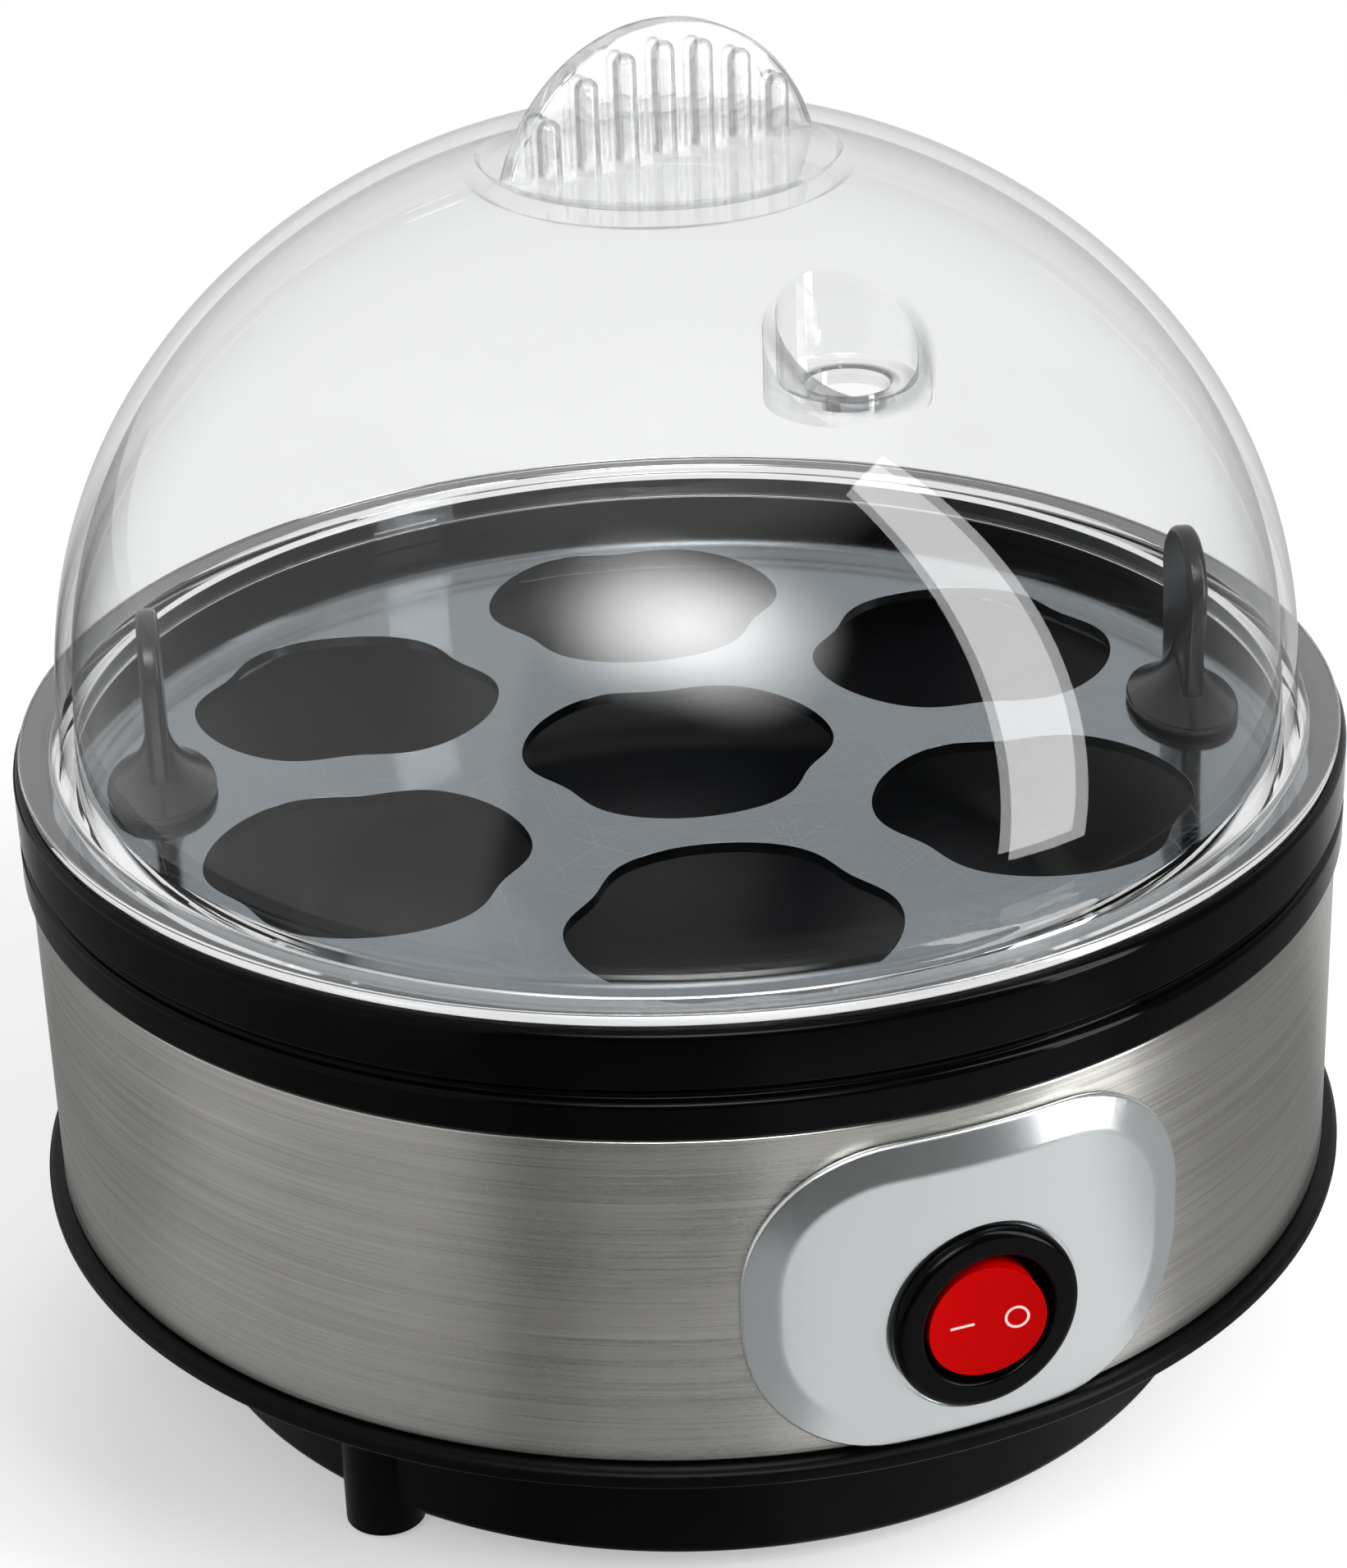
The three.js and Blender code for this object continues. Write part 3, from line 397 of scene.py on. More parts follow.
@dataclass(frozen=True)
class LidPlastic(ClearPlastic):
    """The lid's plastic: it bends light in the flange, the fin and the vent, and else is a film.

    Places and lengths are in millimetres in the frame, shares from 0 to 1.
    """

    film: Colour = (0.968, 0.970, 0.970)
    # The edge colour and its sharpness are painted shade: the film's tint runs to dark grey where
    # it is seen edge-on, which paints a dark outline round the dome.
    film_edge_painted_shade: Colour = (0.30, 0.31, 0.31)
    edge_shade_sharpness: float = 14.0
    gleam: float = 0.04
    gleam_sharpness: float = 5.0
    gleam_rough: float = 0.02
    film_relief: float = 0.004
    film_from: float = 86.75
    film_over: float = 0.3
    fin_foot: float = 156.15
    fin_over: float = 0.5
    fin_reach: float = 21.6
    fin_share: float = 0.66
    vent: Point = (3.3, -44.0)
    vent_floor: float = 141.95
    vent_margin: float = 1.0
    vent_over: float = 1 / 3
    vent_inner: float = 6.0
    vent_outer: float = 9.9
    vent_share: float = 0.4
    front_from: float = -2.0
    front_over: float = 6.0
    hole_share: float = 0.8

    def draw(self, sheet: Sheet) -> Wire:
        """Draws the bending and the thin parts.

        Args:
            sheet: the material's node tree.

        Returns:
            The shader.
        """
        facing = sheet.node("ShaderNodeLayerWeight", None, {"Blend": 0.5}, "Facing")
        gleam = facing**self.gleam_sharpness * (1 - self.gleam) + self.gleam
        waves = sheet.relief(sheet.noise(self.grain, 1.0), self.film_relief)
        # Painted shade: the see-through tint darkens towards the edge colour as the film turns
        # edge-on, which draws a dark outline.
        tint_and_edge_shade = sheet.between(facing**self.edge_shade_sharpness, self.film, self.film_edge_painted_shade)
        through = sheet.node("ShaderNodeBsdfTransparent", None, {"Color": tint_and_edge_shade})
        glossy = {"Roughness": self.gleam_rough, "Normal": waves}
        film = sheet.blend(gleam, through, sheet.node("ShaderNodeBsdfGlossy", None, glossy))
        return sheet.blend(self.thin(sheet), super().draw(sheet), film)

    def thin(self, sheet: Sheet) -> Wire:
        """How much of the plastic is as thin as a film at a place.

        Args:
            sheet: the material's node tree.

        Returns:
            The share.
        """
        place = sheet.where()
        x, y, z = (sheet.along(place, axis) / MM for axis in range(3))
        high = ((z - self.film_from) / self.film_over).held()
        from_middle = (x * x + y * y) ** 0.5
        fin = ((z - self.fin_foot) / self.fin_over).held() * (self.fin_reach - from_middle).held()
        across, along = x - self.vent[0], y - self.vent[1]
        away = (across * across + along * along) ** 0.5
        wall = (away - self.vent_inner).held() * (self.vent_outer - away).held()
        above = ((z - self.vent_floor + self.vent_margin) / self.vent_over).held()
        front = (1 - ((along - self.front_from) / self.front_over).held()) * above
        below = 1 - ((z - self.vent_floor - self.vent_margin) / self.vent_over).held()
        hole = (self.vent_inner - away).held() * below
        outside_vent = (1 - wall * front * self.vent_share) * (1 - hole * self.hole_share)
        return high * (1 - fin * self.fin_share) * outside_vent


@dataclass(frozen=True)
class BrushedSteel(Finish):
    """Sheet steel brushed round the unit: long fine lines with broader streaks among them."""

    pull: float = 0.75
    pull_turn: float = 0.25
    hair_share: float = 0.55
    streak_share: float = 0.3
    streak_width: float = 7.0
    streak_length: float = 1.6
    cloud_length: float = 0.7
    cloud_width: float = 0.5

    def draw(self, sheet: Sheet) -> Wire:
        """Draws the brushed lines.

        Args:
            sheet: the material's node tree.

        Returns:
            The shader.
        """
        length, _, height = self.grain
        hair = sheet.noise(self.grain, 3.0)
        long = length * self.streak_length
        streak = sheet.noise((long, long, height * self.streak_width), 3.0)
        short = length * self.cloud_length
        cloud = sheet.noise((short, short, length * self.cloud_width), 2.0)
        rest = 1 - self.hair_share - self.streak_share
        share = (hair * self.hair_share + streak * self.streak_share + cloud * rest).held()
        turned = {"Anisotropic": self.pull, "Anisotropic Rotation": self.pull_turn}
        return self.surface(sheet, share, hair, turned)


@dataclass(frozen=True)
class CoatedSteel(Finish):
    """Satin steel with a dark non-stick coating inside, up to a height in millimetres."""

    coating: Colour = (0.004, 0.0045, 0.0055)
    coat_to: float = 75.0
    coat_over: float = 0.25
    coat_ragged: float = 0.3
    coat_roughens: float = 0.12
    inside_over: float = 0.05
    hair_share: float = 0.6

    def draw(self, sheet: Sheet) -> Wire:
        """Draws the steel and its coating.

        Args:
            sheet: the material's node tree.

        Returns:
            The shader.
        """
        height = sheet.along(sheet.where(), 2) / MM
        inside = (sheet.along(sheet.where("Normal"), 2) / self.inside_over).held()
        hair = sheet.noise(self.grain, 3.0)
        below = (self.coat_to - height + hair * self.coat_ragged) / self.coat_over
        coated = below.held() * inside
        share = (hair * self.hair_share + self.patches(sheet) * (1 - self.hair_share)).held()
        steel = sheet.between(share, self.colour, self.stray)
        return sheet.skin(
            self.constants()
            | {
                "Base Color": sheet.between(coated, steel, self.coating),
                "Metallic": 1 - coated,
                "Roughness": self.roughness(share) + coated * self.coat_roughens,
                "Normal": sheet.relief(hair, self.relief_depth),
            }
        )


@dataclass(frozen=True)
class ScratchedMetal(Finish):
    """Polished metal with fine hair scratches that run several ways."""

    turns: tuple[float, ...] = (12.0, 58.0, 101.0, 149.0)
    scratch_from: float = 0.93
    scratch_sharpness: float = 9.0
    scratch_share: float = 0.7
    patch_length: float = 1.5

    def draw(self, sheet: Sheet) -> Wire:
        """Draws the polish and the scratches.

        Args:
            sheet: the material's node tree.

        Returns:
            The shader.
        """
        length, _, depth = self.grain
        lines = [
            (sheet.noise(self.grain, 1.0, turn) - self.scratch_from) * self.scratch_sharpness
            for turn in self.turns
        ]
        scratches = reduce(Wire.at_least, [line.held() for line in lines])
        wide = length * self.patch_length
        patch = sheet.noise((wide, wide, depth), 3.0).held()
        share = (scratches * self.scratch_share + patch * (1 - self.scratch_share)).held()
        return self.surface(sheet, share, 1 - scratches)


@dataclass(frozen=True)
class FlakePaint(Finish):
    """Silver paint: tiny metal flakes under a clear coat."""

    peel_grains: float = 9.0

    def draw(self, sheet: Sheet) -> Wire:
        """Draws the flakes.

        Args:
            sheet: the material's node tree.

        Returns:
            The shader.
        """
        place = {"Vector": sheet.on_object(self.grain), "Scale": 1.0}
        cells = sheet.node("ShaderNodeTexVoronoi", None, place, "Color")
        flake = sheet.node("ShaderNodeSeparateColor", None, {0: cells})
        peel = sheet.noise(tuple(self.peel_grains * size for size in self.grain), 2.0)
        return self.surface(sheet, flake, peel)


CLEAR = LidPlastic(
    "clear_moulding", "clear_plastic", (0.965, 0.968, 0.968), (0.95, 0.955, 0.955),
    0.0, 0.03, grain=(26, 26, 26), relief_depth=0.012,
)
GLOSS_BLACK = Finish(
    "gloss_black_plastic", "gloss_black", (0.0006, 0.0006, 0.0008), (0.0014, 0.0015, 0.0018),
    0.07, 0.13, grain=(0.9, 0.9, 0.9), relief_depth=0.0012, specular=0.07,
)
SATIN_BLACK = Finish(
    "satin_black_plastic", "satin_black", (0.0007, 0.0007, 0.0009), (0.0018, 0.0018, 0.0021),
    0.3, 0.42, grain=(0.35, 0.35, 0.35), relief_depth=0.008, specular=0.08,
)
EAR_BLACK = Finish(
    "ear_plastic", "satin_black", (0.003, 0.0033, 0.004), (0.006, 0.0063, 0.0075),
    0.16, 0.28, grain=(0.3, 0.3, 0.3), relief_depth=0.003, specular=0.35,
)
TRAY_METAL = ScratchedMetal(
    "dark_polished_tray", "tray_metal", (0.222, 0.248, 0.270), (0.305, 0.333, 0.356),
    0.08, 0.2, grain=(22, 0.16, 4), relief_depth=0.003, metallic=1.0,
)
BAND_STEEL = BrushedSteel(
    "brushed_band", "band_steel", (0.43, 0.418, 0.39), (0.71, 0.70, 0.665),
    0.23, 0.33, grain=(30, 30, 0.17), relief_depth=0.003, metallic=1.0,
)
PAN_STEEL = CoatedSteel(
    "satin_pan", "pan_steel", (0.56, 0.56, 0.55), (0.68, 0.68, 0.67),
    0.18, 0.28, grain=(9, 9, 0.25), relief_depth=0.001, metallic=1.0, specular=0.15,
)
PLATED = Finish(
    "zinc_plated_steel", "plated_steel", (0.55, 0.56, 0.58), (0.68, 0.68, 0.66),
    0.25, 0.42, grain=(1.2, 1.2, 1.2), metallic=1.0,
)
ALUMINIUM = Finish(
    "cast_aluminium", "aluminium", (0.58, 0.59, 0.60), (0.70, 0.70, 0.70),
    0.38, 0.55, grain=(0.5, 0.5, 0.5), relief_depth=0.02, metallic=1.0,
)
SILVER = FlakePaint(
    "silver_paint", "silver_plastic", (0.70, 0.735, 0.745), (0.73, 0.76, 0.768),
    0.21, 0.232, grain=(0.07, 0.07, 0.07), relief_depth=0.0008, metallic=0.94, coat=0.05,
)
RED = Finish(
    "moulded_red", "red_plastic", (0.37, 0.0003, 0.0004), (0.30, 0.0002, 0.0003),
    0.10, 0.18, grain=(0.8, 0.8, 0.8), relief_depth=0.002, specular=0.03,
)
MARK_WHITE = Finish(
    "printed_mark", "red_plastic", (0.72, 0.43, 0.42), (0.80, 0.52, 0.50),
    0.4, 0.5, grain=(0.2, 0.2, 0.2), relief_depth=0.001,
)
RUBBER = Finish(
    "black_rubber", "rubber", (0.014, 0.014, 0.014), (0.028, 0.027, 0.026),
    0.62, 0.82, grain=(0.4, 0.4, 0.4), relief_depth=0.02,
)
SILICONE = Finish(
    "grey_silicone", "silicone", (0.36, 0.36, 0.34), (0.44, 0.44, 0.42),
    0.55, 0.7, grain=(0.7, 0.7, 0.7), relief_depth=0.01,
)
BRASS = Finish(
    "plain_brass", "brass", (0.52, 0.40, 0.16), (0.66, 0.54, 0.27),
    0.28, 0.45, grain=(0.7, 0.7, 0.7), metallic=1.0,
)
SHEATH = Finish(
    "heat_darkened_sheath", "element_sheath", (0.13, 0.115, 0.10), (0.27, 0.24, 0.21),
    0.4, 0.6, grain=(1.5, 1.5, 1.5), relief_depth=0.01, metallic=0.8,
)
CERAMIC = Finish(
    "glazed_ceramic", "ceramic", (0.68, 0.63, 0.54), (0.76, 0.72, 0.64),
    0.3, 0.5, grain=(1.0, 1.0, 1.0), relief_depth=0.008,
)
LAMP_GLASS = ClearPlastic(
    "neon_glass", "lamp_glass", (0.93, 0.80, 0.70), (0.9, 0.76, 0.66),
    0.0, 0.04, grain=(2, 2, 2), relief_depth=0.002, index=1.5,
)
SLEEVE = Finish(
    "lead_sleeving", "lead_sleeve", (0.58, 0.56, 0.50), (0.68, 0.66, 0.60),
    0.55, 0.75, grain=(0.35, 0.35, 0.35), relief_depth=0.02,
)


# Modelling


def arc(
    centre: Point, across: float, up: float, start: float, end: float, steps: int
) -> list[Point]:
    """Points of an elliptical arc, both ends included.

    Args:
        centre: middle of the ellipse.
        across: half its width.
        up: half its height.
        start: first angle in degrees.
        end: last angle in degrees.
        steps: number of chords.

    Returns:
        The points.
    """
    angles = (math.radians(start + (end - start) * i / steps) for i in range(steps + 1))
    return [(centre[0] + across * math.cos(a), centre[1] + up * math.sin(a)) for a in angles]


def filleted(corners: Sequence[Corner], closed: bool = True, steps: int = 4) -> list[Point]:
    """Rounds the corners of a profile.

    Args:
        corners: (radius, height, rounding) of each corner.
        closed: whether the last corner is joined to the first.
        steps: chords in each rounding.

    Returns:
        The profile's points.
    """
    made: list[Point] = []
    count = len(corners)
    for i, (x, y, rounding) in enumerate(corners):
        if rounding <= 0 or (not closed and i in (0, count - 1)):
            made.append((x, y))
            continue
        here = Vector((x, y))
        back = (Vector(corners[i - 1][:2]) - here).normalized()
        ahead = (Vector(corners[(i + 1) % count][:2]) - here).normalized()
        half = back.angle(ahead) / 2
        centre = here + (back + ahead).normalized() * rounding / math.sin(half)
        start = here + back * rounding / math.tan(half) - centre
        end = here + ahead * rounding / math.tan(half) - centre
        first = math.atan2(start.y, start.x)
        sweep = (math.atan2(end.y, end.x) - first + math.pi) % (2 * math.pi) - math.pi
        for k in range(steps + 1):
            angle = first + sweep * k / steps
            point = centre + rounding * Vector((math.cos(angle), math.sin(angle)))
            made.append((point.x, point.y))
    return made


def out_at(radius: float, bearing: float, height: float = 0.0) -> Vector:
    """A place on a circle round the unit's axis, by its bearing in degrees."""
    angle = math.radians(bearing)
    return Vector((radius * math.cos(angle), radius * math.sin(angle), height))


def around(count: int, radius: float, first: float) -> list[Vector]:
    """Places spaced evenly on a circle round the unit's axis, from a first bearing in degrees."""
    return [out_at(radius, first + 360 * i / count) for i in range(count)]


class Bench:
    """Modelling moves in millimetres, each made with Blender's own operators."""

    @staticmethod
    def pick(*pieces: Piece) -> None:
        """Selects only these pieces and makes the first one active."""
        bpy.ops.object.select_all(action="DESELECT")
        for piece in pieces:
            piece.select_set(True)
        bpy.context.view_layer.objects.active = pieces[0]

    @contextmanager
    def editing(self, piece: Piece, mode: str = "VERT") -> Iterator[None]:
        """Holds a piece in edit mode.

        Args:
            piece: the piece.
            mode: what is selected: VERT, EDGE or FACE.

        Yields:
            Nothing.
        """
        self.pick(piece)
        bpy.ops.object.mode_set(mode="EDIT")
        bpy.ops.mesh.select_mode(type=mode)
        yield
        bpy.ops.object.mode_set(mode="OBJECT")

    def named(self, name: str) -> Piece:
        """Names the primitive that was just added.

        Args:
            name: its name.

        Returns:
            The primitive, its place applied to its mesh.
        """
        piece = bpy.context.active_object
        piece.name = name
        piece.data.name = name
        self.settle(piece)
        return piece

    def settle(self, piece: Piece) -> None:
        """Puts a piece's place, turn and scale into its mesh."""
        self.pick(piece)
        bpy.ops.object.transform_apply(location=True, rotation=True, scale=True)

    def trace(self, name: str, points: Sequence[Place]) -> Piece:
        """Draws a chain of edges by extruding one vertex from point to point.

        Args:
            name: the piece's name.
            points: the places it passes.

        Returns:
            The chain.
        """
        bpy.ops.object.select_all(action="DESELECT")
        bpy.ops.mesh.primitive_plane_add(size=MM)
        piece = self.named(name)
        places = [Vector(point) * MM for point in points]
        with self.editing(piece):
            bpy.ops.mesh.select_all(action="SELECT")
            bpy.ops.mesh.merge(type="CENTER")
            bpy.ops.transform.translate(value=places[0])
            for here, there in zip(places, places[1:]):
                bpy.ops.mesh.extrude_vertices_move(TRANSFORM_OT_translate={"value": there - here})
        return piece

    def close_up(self) -> None:
        """Merges doubles and turns the faces outwards, in edit mode."""
        bpy.ops.mesh.select_all(action="SELECT")
        bpy.ops.mesh.remove_doubles(threshold=1e-6)
        bpy.ops.mesh.normals_make_consistent(inside=False)

    def lathe(self, name: str, profile: Sequence[Point], steps: int = 192) -> Piece:
        """Spins a profile of (radius, height) points round the unit's axis.

        Args:
            name: the piece's name.
            profile: its points; one that doesn't touch the axis is closed.
            steps: steps round.

        Returns:
            The solid.
        """
        ring = list(profile) if abs(profile[0][0]) < 1e-9 else [*profile, profile[0]]
        piece = self.trace(name, [(x, 0.0, z) for x, z in ring])
        with self.editing(piece):
            bpy.ops.mesh.select_all(action="SELECT")
            bpy.ops.mesh.spin(steps=steps, angle=2 * math.pi, center=(0, 0, 0), axis=(0, 0, 1))
            self.close_up()
        return piece

    def plate(self, name: str, outline: Sequence[Point], bottom: float, top: float) -> Piece:
        """Raises a flat outline into a plate.

        Args:
            name: the piece's name.
            outline: its (x, y) points.
            bottom: height of its underside.
            top: height of its upper side.

        Returns:
            The plate.
        """
        piece = self.trace(name, [(x, y, bottom) for x, y in outline])
        with self.editing(piece):
            bpy.ops.mesh.select_all(action="SELECT")
            bpy.ops.mesh.edge_face_add()
            bpy.ops.mesh.extrude_region_move(
                TRANSFORM_OT_translate={"value": (0, 0, (top - bottom) * MM)}
            )
            self.close_up()
        return piece

    def rod(
        self, name: str, radius: float, bottom: float, top: float, sides: int = 48, crown: float = 0
    ) -> Piece:
        """Stands a round bar on its end, with its top edge rounded if asked.

        Args:
            name: the piece's name.
            radius: its radius.
            bottom: height of its foot.
            top: height of its top.
            sides: facets round.
            crown: rounding of the top edge.

        Returns:
            The bar.
        """
        bpy.ops.object.select_all(action="DESELECT")
        bpy.ops.mesh.primitive_cylinder_add(
            vertices=sides,
            radius=radius * MM,
            depth=(top - bottom) * MM,
            location=(0, 0, (top + bottom) / 2 * MM),
        )
        piece = self.named(name)
        if crown > 0:
            with self.editing(piece, "FACE"):
                self.select_top(piece)
                bpy.ops.mesh.bevel(offset=crown * MM, segments=6, affect="EDGES")
        return piece

    def outward(
        self, radius: float, near: float, far: float, height: float, bearing: float
    ) -> Piece:
        """A rod that points out of the unit's side.

        Args:
            radius: its radius.
            near: where it starts, from the unit's axis.
            far: where it ends.
            height: its height above the table.
            bearing: where it points, in degrees.

        Returns:
            The rod.
        """
        rod = self.turn(self.rod("outward", radius, near, far, 64), 90, "X")
        return self.turn(self.shift(rod, (0, 0, height)), bearing + 90)

    def slab(self, name: str, low: Place, high: Place) -> Piece:
        """A block between two corners, as a start or a cutting tool.

        Args:
            name: the piece's name.
            low: its lowest corner.
            high: its highest corner.

        Returns:
            The block.
        """
        bpy.ops.object.select_all(action="DESELECT")
        middle = [(a + b) / 2 * MM for a, b in zip(low, high)]
        size = [(b - a) * MM for a, b in zip(low, high)]
        bpy.ops.mesh.primitive_cube_add(size=1.0, location=middle, scale=size)
        return self.named(name)

    @staticmethod
    def select_top(piece: Piece) -> None:
        """Selects the faces that look straight up, in edit mode."""
        bpy.ops.mesh.select_all(action="DESELECT")
        mesh = bmesh.from_edit_mesh(piece.data)
        for face in mesh.faces:
            face.select_set(face.normal.z > 0.9)
        bmesh.update_edit_mesh(piece.data)

    def modify(self, piece: Piece, kind: str, **settings: Any) -> None:
        """Changes a piece by a modifier, which is applied.

        Args:
            piece: the piece.
            kind: the modifier's type.
            settings: its properties.
        """
        modifier = piece.modifiers.new(kind, kind)
        for name, value in settings.items():
            setattr(modifier, name, value)
        self.pick(piece)
        bpy.ops.object.modifier_apply(modifier=modifier.name)

    def combine(self, piece: Piece, tool: Piece, how: Join) -> None:
        """Changes a solid by another one, which is used up.

        Args:
            piece: the solid that is kept.
            tool: the solid that it is joined to or cut by.
            how: the way.
        """
        self.modify(piece, "BOOLEAN", operation=how.value, solver="MANIFOLD", object=tool)
        bpy.data.objects.remove(tool)

    def soften(self, piece: Piece, width: float, segments: int = 2, angle: float = 40.0) -> None:
        """Rounds the edges that are sharper than an angle.

        Args:
            piece: the piece.
            width: width of the rounding.
            segments: facets across it.
            angle: least angle between two faces, in degrees.
        """
        rounding = {"width": width * MM, "segments": segments, "miter_outer": "MITER_ARC"}
        sharp = {"limit_method": "ANGLE", "angle_limit": math.radians(angle)}
        self.modify(piece, "BEVEL", **rounding, **sharp)

    def turn(self, piece: Piece, degrees: float, axis: str = "Z") -> Piece:
        """Turns a piece round one of the frame's axes.

        Args:
            piece: the piece.
            degrees: how far.
            axis: X, Y or Z.

        Returns:
            The piece.
        """
        piece.matrix_world = Matrix.Rotation(math.radians(degrees), 4, axis) @ piece.matrix_world
        self.settle(piece)
        return piece

    def shift(self, piece: Piece, way: Sequence[float]) -> Piece:
        """Moves a piece by a vector in millimetres.

        Args:
            piece: the piece.
            way: the vector.

        Returns:
            The piece.
        """
        piece.location = Vector(way) * MM
        self.settle(piece)
        return piece

    def repeat(
        self, body: Piece, tool: Piece, places: Iterable[Sequence[float]], how: Join = Join.ADD
    ) -> None:
        """Changes a body by a copy of a solid at each place, and uses the solid up.

        Args:
            body: the body.
            tool: the solid, modelled at the unit's axis.
            places: where the copies go.
            how: the way.
        """
        for place in places:
            self.combine(body, self.shift(self.copy(tool, "repeated"), place), how)
        bpy.data.objects.remove(tool)

    def copy(self, piece: Piece, name: str) -> Piece:
        """Copies a piece with a mesh of its own.

        Args:
            piece: the piece.
            name: the copy's name.

        Returns:
            The copy.
        """
        twin = piece.copy()
        twin.data = piece.data.copy()
        twin.name = twin.data.name = name
        bpy.context.scene.collection.objects.link(twin)
        return twin

    def reshape(self, piece: Piece, move: Callable[[Vector], Vector]) -> None:
        """Moves every vertex of a piece.

        Args:
            piece: the piece.
            move: gives the new place of a place, both in millimetres.
        """
        for vertex in piece.data.vertices:
            vertex.co = move(vertex.co / MM) * MM
        piece.data.update()

    def slice_up(self, piece: Piece, cuts: Sequence[float]) -> None:
        """Slices a piece across x, so that it can bend there.

        Args:
            piece: the piece.
            cuts: the slices' places.
        """
        with self.editing(piece):
            for place in cuts:
                bpy.ops.mesh.select_all(action="SELECT")
                bpy.ops.mesh.bisect(plane_co=(place * MM, 0, 0), plane_no=(1, 0, 0))

    def smooth(self, piece: Piece, angle: float = 32.0) -> None:
        """Shades a piece smooth where its faces meet at less than an angle, its large faces flat.

        Args:
            piece: the piece.
            angle: the angle in degrees.
        """
        self.pick(piece)
        bpy.ops.object.shade_smooth_by_angle(angle=math.radians(angle))
        self.modify(piece, "WEIGHTED_NORMAL", weight=100, keep_sharp=True)


@dataclass(frozen=True)
class Layout:
    """Sizes and places that several sub-assemblies share."""

    band_radius: float = 82.0
    switch_height: float = 44.4
    switch_reach: float = 83.037
    switch_bore: float = 10.2
    panel_height: float = 48.8
    pin_spacing: float = 42.0
    gland_height: float = 41.0
    cut_span: Point = (50.0, 100.0)
    post_count: int = 4
    post_circle: float = 74.8
    post_bearing: float = 45.0
    leg_count: int = 3
    leg_circle: float = 64.5
    leg_bearing: float = 90.0

    def pin_bearings(self) -> tuple[float, float]:
        """Where the panel's two pins go through the band, in degrees."""
        spread = math.degrees(self.pin_spacing / 2 / self.band_radius)
        return -90 - spread, -90 + spread

    def posts(self) -> list[Vector]:
        """Places of the screw posts."""
        return around(self.post_count, self.post_circle, self.post_bearing)

    def legs(self) -> list[Vector]:
        """Places of the legs."""
        return around(self.leg_count, self.leg_circle, self.leg_bearing)


@dataclass
class SubAssembly:
    """Pieces that are modelled, dressed and handed to the frame together."""

    bench: Bench = field(default_factory=Bench)
    layout: Layout = Layout()

    def hand_over(
        self, piece: Piece, finish: Finish, body: Body, *nodes: str, angle: float = 32.0
    ) -> Piece:
        """Finishes a piece and ties it to the frame.

        Args:
            piece: the piece, in place.
            finish: its finish.
            body: the body that it moves with.
            nodes: the CAD nodes that it stands for.
            angle: where its shading stays sharp, in degrees.

        Returns:
            The piece.
        """
        self.bench.settle(piece)
        self.bench.smooth(piece, angle)
        piece.data.materials.clear()
        piece.data.materials.append(finish.material())
        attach(piece, body.value)
        if nodes:
            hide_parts(*nodes)
        log.info("%s: %d faces, %s", piece.name, len(piece.data.polygons), finish.name)
        return piece


